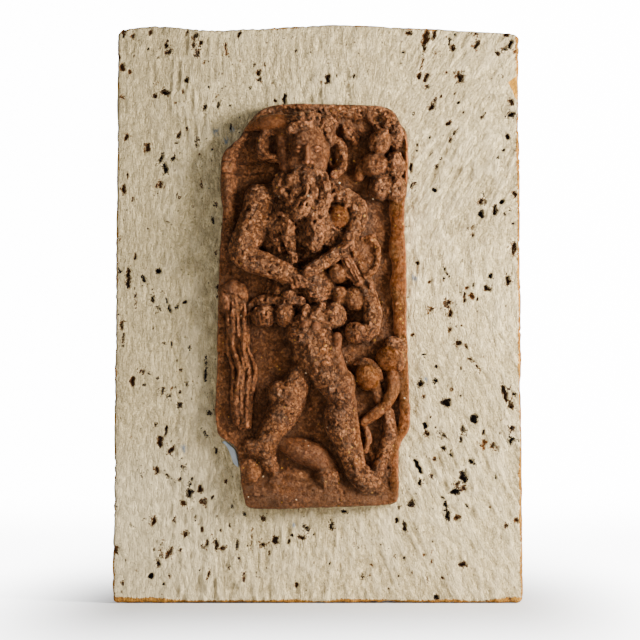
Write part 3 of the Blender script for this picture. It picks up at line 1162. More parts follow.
pits = {        # x, z, length, width, then, where not nought: lean to the left in degrees, tone from 0 black
    # to 1 bare ochre, and how ragged it is, up to 2
    "upperLeft": [
        (-136, 199.2, 5, 4, 0, 0.7, 1), (-129.6, 195.9, 4, 2.4, 0, 0.5, 1), (-125.4, 192.9, 2, 1.8),
        (-117, 198.6, 4, 2.5, 0, 0.5, 1), (-118.7, 186.6, 2.2, 2), (-129, 181.8, 2, 1.3),
        (-112, 180.8, 1.5, 1.3), (-91.7, 198, 5, 1.8, -10, 0.3), (-86.4, 195, 5, 3, -30, 0.4, 2),
        (-82.6, 191.4, 5, 2, 10, 0.3, 2), (-87.4, 189.6, 4, 2, 0, 0.5, 2), (-84, 184.2, 5, 3, 10, 0.4, 2),
        (-65, 189.4, 5, 3, 0, 0.6, 1), (-64.6, 183.6, 5, 2.4, -5, 0.5, 1),
        (-55.4, 196.4, 5, 2.6, -25, 0.3, 1), (-107, 189.6, 5, 4, 0, 0.25, 2),
        (-104.6, 184.4, 4, 3.4, 0, 0.3, 2), (-92.3, 164.7, 4, 4, 0, 0.15, 1), (-76.5, 160, 1.8, 1.8),
        (-107, 156, 4, 5, 0, 0.3, 2), (-114, 153.9, 3.6, 2.4, 0, 0.3, 1), (-100, 149, 2, 2, 0, 0.5),
        (-97.5, 126.2, 5.6, 2.6, -30, 0.3, 1), (-119.7, 117.4, 7.6, 3.8, -14, 0.45, 1),
        (-60.9, 132, 5, 1.6), (-84.6, 121, 8, 1.5, 0, 0.1, 1), (-83.3, 113, 2.2, 2.2, 0, 0.5),
        (-78.5, 123.6, 1.6, 1.6), (-110, 110, 7, 2.2, -10, 0.1, 2), (-107.2, 103.6, 7, 3, 12, 0.05, 2),
        (-101.6, 110, 4, 2.2, -20, 0.1, 2), (-100.5, 101.5, 1.5, 1.4),
        (-134.6, 124.9, 5, 3.4, -20, 0.5, 1), (-137.3, 174, 5.6, 4, 0, 0.5, 1),
        (-131.9, 170.5, 3.4, 3, -30, 0.6), (-137, 153.3, 4, 3, 20, 0.8, 1),
        (-136.2, 88.4, 7, 3, 6, 0.5, 1), (-133.5, 98, 7, 1.1, 6, 0.3),
        (-129.3, 80.9, 2.8, 2.4, 0, 0.3, 1), (-111, 91.4, 5, 3.4, 0, 0.6, 2),
        (-81.5, 90.8, 7, 1.3, 0, 0.4, 1), (-131.3, 72.3, 1.2, 1.2), (-73.5, 67, 5, 2, 0, 0, 1),
        (-105, 65, 3, 1.4, 50, 0, 1), (-41.7, 170, 5.6, 3.4, -15, 0.4, 1),
        (-41.4, 165.4, 3, 2.6, 0, 0.3, 2), (6.7, 165.6, 8.4, 3.4, -8, 0.2, 1),
        (-30, 150.6, 4, 1.7, 30, 0.2), (-23.5, 151.6, 8, 2.6, 2, 0.15, 1),
        (-31.8, 162.9, 1.6, 1.6, 0, 0.2), (-69.7, 148.5, 4, 1.6, 0, 0.1, 2),
        (-79.6, 145.3, 3.4, 2.4, 0, 0.2, 2), (-61.5, 147, 1.6, 1.6), (-74, 116.3, 1.5, 1.4),
    ],
    "left": [
        (-133, 26.3, 16, 3, 0, 0.25, 1), (-128, 41.4, 5.6, 1.7, 0, 0.3), (-138.5, 31.4, 3, 1.4, 0, 0, 1),
        (-111.8, 31.2, 3.4, 4.2, 0, 0, 1), (-122.5, 25.8, 5, 1.8, 25, 0, 1),
        (-119.5, 22, 3, 1.4, 40, 0.1, 1), (-128, 10, 9, 1.3, 0, 0.2, 1), (-116.5, 12, 7, 1.3, 10, 0.1, 2),
        (-112.2, 5.6, 4, 1.2, 50, 0.1, 2), (-108.6, 16, 5, 1.2, 40, 0.1, 1),
        (-105.4, 8.6, 8, 1.4, 14, 0, 1), (-103.4, 3.4, 4, 1.5, 50, 0, 1), (-99, 6, 3, 1.2, -45, 0, 1),
        (-93, 9.4, 2.4, 3.4, 20), (-137.5, -7, 8, 2.4, 4, 0.5, 1), (-136.6, -15, 7, 1, 0, 0.2, 1),
        (-136.4, -21.2, 1.8, 1.8), (-102.5, -20.2, 5, 1.2), (-99, -31.6, 2, 1.8),
        (-78.5, -37.2, 16, 1.9, -2, 0, 1), (-130, -46.1, 8, 3.4, 0, 0.35),
        (-123, -39.1, 2.6, 3, 0, 0.3, 2), (-122, -48.7, 1.7, 3), (-109.5, -53.1, 5, 2, -25, 0.1, 2),
        (-100, -50.3, 1.8, 2), (-91.6, -48.6, 3, 1.2, 30, 0.1, 1), (-104.6, -56.6, 4, 1.6, -50, 0, 1),
        (-97, -62.7, 4.4, 2.6, 25, 0.1, 1), (-76, -68.4, 1.8, 2, 0, 0.1, 2),
        (-71.6, -67, 2, 1.6, 0, 0.1, 2),
    ],
    "lowerLeft": [
        (-110.8, -88.2, 8.4, 5, 8, 0.4, 1), (-106.4, -80.4, 9, 1.8, -8, 0.1),
        (-103, -94, 8, 3, -42, 0.3, 1), (-113, -108, 6.4, 3, 0, 0.4, 1),
        (-94.3, -106, 3.4, 3, 0, 0.15, 2), (-97.6, -115, 2.2, 3.6, 0, 0.1, 1),
        (-105.7, -112, 6, 1.3, 38, 0.1, 1), (-89, -117, 7, 1.8, -20, 0, 1),
        (-90, -124.6, 7, 3.8, 8, 0.1, 2), (-82.5, -121.2, 7, 4, -14, 0.35, 1),
        (-94.3, -131.7, 4.4, 4, 0, 0.5, 1), (-80.4, -130.6, 4, 4.6, -20, 0.5, 2),
        (-73.9, -127.4, 3.4, 1.7, -30, 0.1), (-115.3, -144, 7.4, 2.8, -8, 0.4, 1),
        (-104, -166, 9, 4, -24, 0.55, 2), (-109.4, -163, 8, 1.4, 0, 0.4, 2),
        (-81.2, -149.7, 4.2, 2.2, -10, 0.3), (-93.4, -153.6, 4, 3, -20, 0.5, 2),
        (-77.6, -159.6, 8, 2.6, -8, 0.5, 2), (-80, -162.6, 4, 2, 60, 0.3, 1),
        (-71.4, -161.4, 7, 2.6, 0, 0.35, 2), (-66.6, -163, 3.6, 5, 0, 0.5, 2),
        (-56.8, -161, 8.4, 2, 0, 0.1, 1), (-117, -182.5, 5, 4.2), (-111.7, -173.5, 7, 1.8, 24, 0.2, 1),
        (-108.4, -188, 2, 2), (-29.8, -158, 7, 5, 10, 0.25, 2), (-39.4, -160.4, 4, 5, 0, 0.4, 2),
        (-15.2, -189, 4.6, 2.6, 10, 0.35), (-77, -182.4, 6, 1.6, -14, 0.4, 1),
        (-51.8, -182.9, 6, 1.6, 0, 0.4, 1), (-8.4, -148.5, 3.6, 3.4, 0, 0.1, 2),
        (-46.7, -156, 13, 1.3, 0, 0.4, 1), (-38.2, -141.8, 4, 4, 0, 0.4, 2),
        (-34.3, -166.5, 6, 1.2, 10, 0.3), (-20.6, -157.4, 6, 2, 0, 0.2, 1), (-18, -154, 2.6, 2),
        (-11.2, -155.3, 3, 5, 0, 0.35, 2), (-141.6, -164, 6, 4, 0, 0.6, 1),
        (-113.7, -76, 3, 2.4, 0, 0.1, 1), (-78.8, -82.7, 6, 1.4, 35, 0, 1),
        (-71.4, -94.5, 5.4, 2, 18, 0.1), (-61.9, -147.4, 4, 1.4, 0, 0.1), (-21.9, -167, 3.4, 1.2),
        (-60, -133.6, 3, 1.2, 50, 0, 1), (-86, -141, 3, 2, 0, 0.1, 2), (-90.6, -137, 3, 2, 30, 0.3, 2),
        (-113, -158, 1.6, 1.6), (-115, -164, 2.4, 1.4, 0, 0.1), (-100.4, -143.6, 4, 1.6, 0, 0.3, 1),
        (-68, -150.4, 2.4, 2, 0, 0.1), (-71, -140.6, 1.6, 1.4), (-55, -170, 6, 1.2, 8, 0.1, 1),
        (-62, -176, 4, 1.4, -20, 0.2, 1),
    ],
    "upperRight": [
        (64.2, 197.8, 4, 5, 0, 0.4, 2), (75, 194.4, 11, 5, -4, 0.55, 1), (74, 187.6, 5, 2, 10, 0.4, 2),
        (81, 196.6, 6, 2.4, -22, 0.4, 1), (95.9, 197, 2.2, 1.4), (92, 191.6, 7, 2, 0, 0.2, 2),
        (94, 187.6, 4.6, 3.2, -20, 0.3, 1), (109, 197.2, 2.4, 4, 0, 0.4, 2),
        (110.7, 189.8, 7, 4, -10, 0.4, 2), (134.6, 190.4, 8, 2.6, -16, 0.1, 1),
        (131, 187.4, 8, 3, -46, 0.2, 2), (132.2, 196.2, 3, 4, 0, 0.4, 2), (137, 184.9, 2.4, 4, 0, 0.7, 1),
        (125.6, 183.2, 2.4, 3, 0, 0.3, 2), (59.6, 184.5, 1.6, 2.4), (58, 176.6, 1.8, 1.8),
        (82.5, 183.8, 3.4, 1.8, -10, 0.4, 1), (85.4, 184.3, 3, 1.8, 0, 0.2, 1),
        (72.4, 177, 9, 1.5, -10, 0.4, 1), (70.8, 168, 5, 3.4, -20, 0.45, 1),
        (75.6, 166.4, 7, 3.4, -34, 0.5, 2), (76, 160.4, 4, 3, 20, 0.5, 2), (99, 166.7, 9, 5, 22, 0.4, 2),
        (81.6, 149, 8, 2.2, -16, 0.3, 2), (79, 145.6, 6, 5, -20, 0.3, 2), (86, 153.5, 2.4, 1.6, 0, 0.3),
        (92, 155.7, 2, 1.4, 0, 0.1), (95.9, 155.4, 1.8, 2, 0, 0.1), (98, 149, 1.8, 2.6),
        (90.9, 134.6, 3.2, 4.6, 10, 0.35, 1), (95.4, 128, 4, 2, -26, 0.3, 2),
        (92.4, 123, 4, 2.6, -20, 0.3, 1), (102, 142.2, 1.8, 1.8, 0, 0.1),
        (114.6, 139.5, 2.4, 2.6, 0, 0.3, 2), (135.4, 149.6, 5, 3, 40, 0.35, 1),
        (135, 140.8, 5, 5, 0, 0.1, 2), (132.8, 125.4, 4.6, 3, 0, 0.05), (129.5, 115.6, 2.4, 2, 0, 0.1, 1),
        (69, 115.6, 2.2, 1.8), (69.4, 119.8, 1.6, 1.2), (83.2, 104.7, 2.4, 2, 0, 0.2, 1),
        (81.4, 87.8, 2.8, 4, -28), (114.6, 71, 6.4, 4.6, 0, 0, 1), (115, 79.4, 3.6, 5.4, 0, 0.4, 2),
        (128.7, 79.6, 3.6, 3.8), (124, 73.8, 7, 3, 0, 0.15, 2), (130.5, 71, 2.8, 1.6),
        (137.4, 84.8, 6, 3, 22, 0.35, 1), (136.4, 64.4, 1.8, 2.4), (108, 61.7, 4, 1.5, -20, 0.2, 1),
        (64.9, 103.5, 8, 2.2, 0, 0.1), (104.6, 60.4, 2, 1.6, 0, 0.2, 1), (66, 92, 6, 1.6, 0, 0.1, 2),
    ],
    "right": [
        (69.8, 36.8, 3, 2.6, 0, 0.1), (77.8, 23.4, 2.6, 2.6, 0, 0.4), (89.6, 30.4, 8, 1.3, 30, 0.1, 1),
        (88, 26, 1.8, 2), (120.8, 27.6, 3.4, 3.6, 0, 0, 1), (118.2, 18.8, 4.6, 5, -10, 0.25, 1),
        (104, 19.4, 2.8, 3, 0, 0.5), (107.5, 13.7, 4, 4.4, 0, 0.6, 1), (108.8, 21.4, 4.4, 1.2, 0, 0.1),
        (111.3, 11.4, 3, 2, 0, 0.1), (102.5, 13, 10, 1.4, 0, 0.2, 1), (90.5, 8.4, 6, 5, -20, 0.35, 2),
        (92.5, 2, 7, 3, 0, 0.35, 2), (78.5, 4.3, 3, 3, 0, 0.6, 2), (92, -10.6, 3, 2.6, 0, 0.6, 2),
        (100.5, -7.1, 1.8, 2, 0, 0.2), (98.2, -19.2, 3.4, 4, 0, 0.3, 2),
        (103.6, -21.6, 5, 1.4, 40, 0.3, 1), (65.8, -13.6, 2.6, 3, 0, 0.4), (73.8, -27.4, 1.7, 3.2),
        (82.8, -35.8, 2.8, 2), (106, -30.4, 6, 1.2, 60, 0.3, 1), (110.6, -34.6, 8, 1.2, 34, 0.2, 1),
        (72.4, -47.7, 5, 3.4, -20, 0.1, 2), (81.8, -45.6, 2.8, 3.6, 20, 0, 1), (81.8, -50.4, 1.6, 2),
        (89.5, -61.2, 6.6, 7.4, 0, 0.05, 1), (109, -72.6, 7, 5.6, 0, 0, 1),
        (130.6, -55, 15, 3.2, 16, 0.3, 1), (134.6, -62.6, 7, 3.6, 34, 0.4, 2),
        (136, -53, 6, 1.4, 24, 0.3, 2), (137, 46.3, 9, 3.4, 0, 0.3, 2), (133, 24.9, 8, 3, 0, 0.3, 2),
        (93, -51.4, 1.6, 3, 20, 0.4, 1), (99.6, -56, 1.6, 1.6), (74, -57, 3, 2, 0, 0.4, 1),
    ],
    "lowerRight": [
        (74.9, -77.1, 5, 3), (76.2, -82.7, 4.6, 3.4, 14, 0.35, 1), (87, -83.9, 4.6, 4.6, 0, 0.15, 2),
        (91, -86.6, 4, 1.3, 55), (99.9, -87, 4.6, 2.6, -24, 0.1, 1), (100.8, -79, 8, 1.5, 6, 0.2, 2),
        (115.8, -81.8, 5, 1.8, 0, 0.1), (115.9, -90.2, 8, 3.8, -4, 0.75, 1),
        (122.6, -91, 3, 3, 0, 0.5, 2), (134.9, -87.4, 4.6, 5, -10, 0, 2),
        (135.6, -79.4, 2.4, 3.4, 0, 0.3, 2), (87.9, -93.2, 3.4, 3.8, 0, 0.1, 1),
        (92.7, -97.7, 4.6, 1.5, 52), (107.9, -102.8, 4, 4.8, 0, 0, 1), (69.9, -105.6, 13, 2.8, 28),
        (101.6, -113.4, 9, 5, 18, 0.05, 1), (97.4, -117.4, 5, 4, 0, 0.45, 2),
        (96.4, -123.4, 4.4, 8, 8, 0, 1), (101.6, -121, 5, 4.4, 0, 0.4, 1),
        (78.9, -112.6, 3.6, 2, 0, 0.25, 1), (71.2, -117.2, 4.4, 3, 0, 0.15, 2),
        (64.9, -132.2, 5, 3.6, 0, 0.15, 2), (89.4, -132.4, 7, 2.4, 14, 0, 1),
        (90.6, -139.6, 8, 3.6, 10, 0.05, 1), (87.4, -127.6, 4, 1.2, 50), (97.4, -141.6, 4, 6, 0, 0.55, 1),
        (104.4, -133.6, 4.4, 1.3, 38), (54.9, -143.6, 5, 2.6, 0, 0.1), (60.6, -147.6, 9, 3, 14, 0.15, 1),
        (17.9, -137.4, 2, 4.4, 0, 0, 1), (9.4, -147.1, 6, 3.2, 0, 0.1, 2), (60.2, -169.7, 2.6, 2.2),
        (53.9, -167.7, 3, 1.6, 0, 0.4, 1), (30.4, -183.3, 4, 2.4, 20, 0.05, 1),
        (37.4, -174.7, 1.5, 3.4, -20, 0.4), (35.4, -182.2, 2.4, 3, 0, 0.4, 2),
        (56.4, -182.7, 1.8, 2, 0, 0.1), (82.9, -197.4, 4, 4, 0, 0.05, 1),
        (86.9, -183.6, 1.5, 3.4, -30, 0.3), (101.4, -174.4, 3.4, 6, 0, 0.25, 1),
        (138.4, -143.2, 3, 4, 0, 0.6, 1), (131.6, -147.1, 2, 3.4, 0, 0.4, 2),
        (73.9, -167.7, 2.4, 2, 0, 0.4), (79.9, -170.5, 4, 1.3, -10, 0.4, 1), (57, -135, 2, 2, 0, 0.2, 2),
        (98, -129, 1.6, 1.6), (80, -158, 2.4, 1.4, 20, 0.1), (83, -101, 2, 3, 0, 0.5, 2),
    ],
}

stains = [        # x, z, radius of the faint blue marks
    (-71, 128.6, 3.4), (-64.4, 122.6, 2.6), (67.6, 27, 3.2), (63.6, 84, 2.4), (-16.8, -146.8, 1.7),
    (75.4, -45, 2), (-60, 130, 2.2), (-94, -94, 3.4),
]

rimChip = {"top": (140.5, 168.6), "point": (133.2, 163), "foot": (141.5, 146)}        # bare cork
lumps = [        # x, z, across, up, how much they stand out: thick paint and bedding round the clay
    (-86, -8, 9, 46, 0.75), (-80, -70, 12, 22, 0.8), (127, 4.6, 3.4, 5.6, 0.9), (97, 121, 4, 14, 0.6),
    (72, 60, 8, 40, 0.4), (-2, 165, 3.4, 7, 0.8), (11, 165, 3, 6, 0.7), (-76, 128, 12, 8, 0.5),
]


def strokes(x, z, lean, across, along, seed):        # ridged noise drawn out along a leaning direction
    u, v = turned(x, z, math.radians(lean))
    u = u + 1.6 * tableNoise(u / 14, v / 16, seed + 1)
    return 1 - 2 * np.abs(tableNoise(u / across, v / along, seed))


def edgeWave(side, s):        # how far the edge is cut back, as along the frame's edge
    swing = np.sin(s / 17 + side) + 0.6 * np.sin(s / 7.3 + 2 * side)
    fade = np.clip(np.minimum(s, board["run"][side % 2] - s) / 25, 0, 1)
    nibble = 0.3 * (1 + tableNoise(s / 2.2, s * 0 + side, 40)) * (1 + tableNoise(s / 11, s * 0, 41))
    return 0.45 * board["wave"] * (1 + swing / 1.6) * fade + nibble


def boardPlaces():        # the front's points, warped to the uneven outline
    corner = {name: np.array(place, float) for name, place in board["corners"].items()}
    columns = int(board["wide"] / board["pitch"]) + 1
    rows = int(board["tall"] / board["pitch"]) + 1
    a, b = np.meshgrid(np.linspace(0, 1, columns), np.linspace(0, 1, rows))
    flat = ((1 - a) * (1 - b))[..., None] * corner["bottomLeft"]
    flat = flat + (a * (1 - b))[..., None] * corner["bottomRight"]
    flat = flat + ((1 - a) * b)[..., None] * corner["topLeft"] + (a * b)[..., None] * corner["topRight"]
    x, z = flat[..., 0], flat[..., 1]
    across, up = board["span"]
    fromRight, fromLeft = (1 - a) * across, a * across
    fromTop, fromBottom = (1 - b) * up, b * up
    reach = board["frayed"]
    x = x - edgeWave(0, fromBottom) * np.clip(1 - fromRight / reach, 0, 1) ** 2
    x = x + edgeWave(2, fromTop) * np.clip(1 - fromLeft / reach, 0, 1) ** 2
    topEdge = np.array(board["topEdge"])
    z = z + (np.interp(x, *topEdge.T) - board["corners"]["topLeft"][1]) * np.clip(1 - fromTop / 40, 0, 1) ** 2
    z = z - edgeWave(1, fromRight) * np.clip(1 - fromTop / reach, 0, 1) ** 2
    z = z + edgeWave(3, fromLeft) * np.clip(1 - fromBottom / reach, 0, 1) ** 2
    r = board["round"]
    aside = np.clip(r - np.minimum(fromRight, fromLeft), 0, r) / r
    upward = np.clip(r - np.minimum(fromTop, fromBottom), 0, r) / r
    pullX = aside - aside * np.sqrt(1 - upward ** 2 / 2)
    pullZ = upward - upward * np.sqrt(1 - aside ** 2 / 2)
    x = x - np.sign(a - 0.5) * r * pullX
    z = z - np.sign(b - 0.5) * r * pullZ
    edge = np.minimum(np.minimum(fromRight, fromLeft), np.minimum(fromTop, fromBottom))
    return x, z, edge


def leanShares(x, z):        # where the brush marks lean right, stand upright or lean left
    right = np.clip((x - 20) / 60, 0, 1) * np.clip((z - 20) / 60, 0, 1)
    left = np.clip((x + 10) / 70, 0, 1) * np.clip((30 - z) / 70, 0, 1)
    return right, left


def pitDistance(x, z):        # mm to the nearest pit's edge, below nought inside, its tone and its tear
    distance = np.full(x.shape, 4.0)
    tone = np.zeros(x.shape)
    torn = np.zeros(x.shape)
    luckyPit = np.random.default_rng(board["seed"])
    small = []
    for _ in range(board["smallPits"]):
        size = luckyPit.uniform(0.5, 1.5)
        small.append((luckyPit.uniform(-140, 140), luckyPit.uniform(-198, 196),
                      size * luckyPit.uniform(1, 2.4), size,
                      luckyPit.uniform(-20, 20), luckyPit.choice([0, 0.1, 0.4]), luckyPit.integers(0, 2)))
    everyPit = [(*pit, 0, 0, 0)[:7] for region in pits.values() for pit in region] + small
    for px, pz, length, width, lean, shade, ragged in everyPit:
        near = (np.abs(x - px) < length / 2 + 4.5) & (np.abs(z - pz) < length / 2 + 4.5)
        u, v = turned(x[near] - px, z[near] - pz, math.radians(lean))
        u = u + 0.12 * width * np.sin(v * 1.3 + px)
        scaled = np.sqrt((u / (width / 2)) ** 2 + (v / (length / 2)) ** 2) + 1e-6
        slope = np.sqrt((u / (width / 2) ** 2) ** 2 + (v / (length / 2) ** 2) ** 2) + 1e-6
        gap = scaled * (scaled - 1) / slope
        gap = gap + (0.25 + 0.45 * ragged) * tableNoise(x[near] / 1.7, z[near] / 2.2, 77) + 0.2
        if ragged == 2:
            gap = gap + 0.5 * tableNoise(x[near] / 1.3, z[near] / 1.9, 78)
        closer = gap < distance[near]
        distance[near] = np.where(closer, gap, distance[near])
        tone[near] = np.where(closer, shade, tone[near])
        torn[near] = np.where(closer, ragged / 2, torn[near])
    return distance, tone, torn


def bareRim(x, z):        # mm inside the bare strip along each edge, above nought where the cork shows
    corner = board["corners"]
    sideways = (201 - z) / 402
    rightEdge = corner["topRight"][0] * (1 - sideways) + corner["bottomRight"][0] * sideways
    gaps = {
        "right": (rightEdge - x, 2.5 + 0.9 * tableNoise(z / 16, z * 0 + 3, 91)),
        "bottom": (z + 201,
                   1.7 + 1.0 * tableNoise(x / 19, x * 0 + 9, 92) + 1.2 * np.clip((x - 105) / 30, 0, 1)
                   + 2.6 * np.clip((-92 - x) / 45, 0, 1)),
        "left": (x + rightEdge, 1.1 + 1.3 * tableNoise(z / 8, z * 0 + 15, 93)),
        "top": (np.interp(x, *np.array(board["topEdge"]).T) - z,
                0.5 + 1.5 * tableNoise(x / 8, x * 0 + 21, 94) + 0.9 * np.clip(1 - np.abs(x - 70) / 20, 0, 1)),
    }
    return np.max([width - gap for gap, width in gaps.values()], axis=0)


def boardHeights(x, z, edge, pit, tone):        # how far the paint stands out from the frame's face, in mm
    right, left = leanShares(x, z)
    upright = np.clip(1 - right - left, 0, 1)
    fluted = strokes(x, z, 0, 5.2, 19, 21) * upright + strokes(x, z, -30, 5, 17, 22) * right
    fluted = fluted + strokes(x, z, 22, 5.4, 21, 23) * left
    fine = strokes(x, z, 0, 2.1, 8, 24) * upright + strokes(x, z, -32, 2.1, 8, 25) * right
    fine = fine + strokes(x, z, 24, 2.2, 9, 26) * left
    knobs = 0.8 * tableNoise(x / 9, z / 11, 27) + 0.9 * tableNoise(x / 3.4, z / 4.6, 28)
    calmCorner = np.clip(1 - np.hypot(x + 122, z + 182) / 26, 0, 1)
    calmLeft = np.clip((-100 - x) / 20, 0, 1) * 0.55
    strength = (0.75 + 0.35 * tableNoise(x / 46, z / 52, 29)) * (1 - 0.8 * calmCorner) * (1 - calmLeft)
    height = -0.95 + strength * (0.72 * fluted + 0.6 * fine + 0.3 * knobs)
    for lx, lz, across, up, rise in lumps:
        height = height + rise * np.exp(-((x - lx) / across) ** 2 - ((z - lz) / up) ** 2)
    lip = np.clip(1 - np.abs(pit - 0.9) / 1.2, 0, 1)
    height = height + 0.16 * lip
    height = np.minimum(height, 0.3)
    deep = np.clip(-pit / 1.6, 0, 1)
    height = height - (1.2 + 3.2 * (1 - tone)) * deep ** 0.8
    px, pz = rimChip["point"]
    sides = []
    for name, way in (("top", 1), ("foot", -1)):
        runX, runZ = rimChip[name][0] - px, rimChip[name][1] - pz
        sides.append(way * ((z - pz) * runX - (x - px) * runZ) / math.hypot(runX, runZ))
    chip = np.maximum(*sides) + 0.5 * tableNoise(x / 2.1, z / 2.1, 79)
    height = height - 1.3 * np.clip(0.5 - chip, 0, 1)
    rim = np.clip(1 - edge / board["bevel"], 0, 1)
    return height - board["bevel"] * rim ** 2, chip


def makeBoard(material):
    x, z, edge = boardPlaces()
    pit, tone, torn = pitDistance(x, z)
    height, chip = boardHeights(x, z, edge, pit, tone)
    rows, columns = x.shape
    under = outlineDistance(slabOutline(), x, z) < -7        # left out where the clay hides it
    index = np.arange(rows * columns).reshape(rows, columns)
    hidden = under[:-1, :-1] & under[1:, :-1] & under[:-1, 1:] & under[1:, 1:]
    quads = np.stack([index[:-1, :-1], index[:-1, 1:], index[1:, 1:], index[1:, :-1]], -1)[~hidden]
    places = np.stack([x, -(corkFace + height), z], -1).reshape(-1, 3)
    ring = np.concatenate([index[0, :], index[1:, -1], index[-1, -2::-1], index[-2:0:-1, 0]])
    loops = [ring]
    points = [places]
    total = len(places)
    start = places[ring]
    outward = np.stack([np.roll(start[:, 2], -1) - np.roll(start[:, 2], 1),
                        np.roll(start[:, 0], 1) - np.roll(start[:, 0], -1)], 1)
    outward /= np.linalg.norm(outward, axis=1, keepdims=True) + 1e-9
    lengthAlong = np.cumsum(np.hypot(*(start - np.roll(start, 1, axis=0))[:, [0, 2]].T))
    for row in range(1, board["sideRows"] + 1):
        t = row / board["sideRows"]
        level = start.copy()
        level[:, 1] = start[:, 1] * (1 - t)
        bulge = 0.35 + 0.3 * tableNoise(lengthAlong / 5, level[:, 1] / 3.4 + 60, 51)
        bulge = bulge + 0.2 * tableNoise(lengthAlong / 2, level[:, 1] / 1.6 + 60, 52)
        bulge = bulge * math.sin(math.pi * min(t, 0.5))
        level[:, [0, 2]] += outward * (bulge - 0.4)[:, None]
        points.append(level)
        loops.append(np.arange(total, total + len(ring)))
        total += len(ring)
    sides = []
    for upper, lower in zip(loops[:-1], loops[1:]):
        sides.append(np.stack([upper, lower, np.roll(lower, -1), np.roll(upper, -1)], 1))
    faces = np.concatenate([quads.reshape(-1, 4)] + sides)
    mesh = bpy.data.meshes.new("corkSkin")
    mesh.from_pydata((np.concatenate(points) * mm).tolist(), [], faces.tolist())
    mesh.update()
    extra = total - rows * columns
    right, left = leanShares(x, z)
    blue = np.full(x.shape, 9.0)
    for sx, sz, radius in stains:
        blue = np.minimum(blue, np.hypot((x - sx), (z - sz) * 0.7) / radius)
    bare = np.clip(0.15 - chip, -1, 1)
    carried = {        # what the material reads: its values on the front, and one value for the sides
        "pit": (pit, 4.0), "tone": (tone, 0.5), "torn": (torn, 0.5), "rimBare": (bareRim(x, z), 4.0),
        "leanRight": (right, 0.0), "leanLeft": (left, 0.0), "hollowness": (height, -1.0),
        "blueMark": (blue, 9.0), "bareSpot": (bare, -1.0),
    }
    for name, (front, aside) in carried.items():
        paintPoints(mesh, name, np.concatenate([front.ravel(), np.full(extra, aside)]))
    work = bmesh.new()
    work.from_mesh(mesh)
    work.edges.ensure_lookup_table()
    loose = [vert for vert in work.verts if not vert.link_faces]
    bmesh.ops.delete(work, geom=loose, context="VERTS")
    rim = [side for side in work.edges if side.is_boundary]
    backRim = [side for side in rim if all(abs(vert.co.y) < 1e-6 for vert in side.verts)]
    onBack = set(backRim)
    frontRim = [side for side in rim if side not in onBack]
    for ringOfEdges in (backRim, frontRim):
        bmesh.ops.triangle_fill(work, use_beauty=True, edges=ringOfEdges)
    bmesh.ops.recalc_face_normals(work, faces=work.faces)
    work.to_mesh(mesh)
    work.free()
    mesh.shade_smooth()
    mesh.materials.append(material)
    piece = placed("cork_board_skin", mesh)
    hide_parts("cork_board")
    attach(piece, "root")
    print("board meshed:", sum(len(face.vertices) - 2 for face in mesh.polygons), "triangles")


boardTint = {
    "paint": (0.73, 0.56, 0.283), "newPaint": (0.89, 0.70, 0.365), "worn": (0.55, 0.415, 0.205),
    "fleck": (0.96, 0.77, 0.43), "dint": (0.46, 0.335, 0.155), "wrinkle": (0.36, 0.26, 0.12),
    "furrow": (0.34, 0.25, 0.12), "grime": (0.50, 0.385, 0.19), "clean": (0.95, 0.77, 0.44),
    "high": (0.95, 0.76, 0.43), "low": (0.33, 0.235, 0.11), "blue": (0.13, 0.25, 0.40),
    "cork": (0.45, 0.18, 0.015), "lightCork": (0.62, 0.29, 0.035), "corkGrain": (0.16, 0.05, 0.01),
    "lenticel": (0.05, 0.022, 0.01), "chip": (0.64, 0.285, 0.02), "pit": (0.016, 0.008, 0.0045),
    "barePit": (0.36, 0.125, 0.018), "pitGrain": (0.014, 0.008, 0.005), "deepPit": (0.012, 0.0075, 0.005),
    "ring": (0.22, 0.15, 0.07), "bareRing": (0.5, 0.27, 0.08), "speck": (0.06, 0.038, 0.02),
}


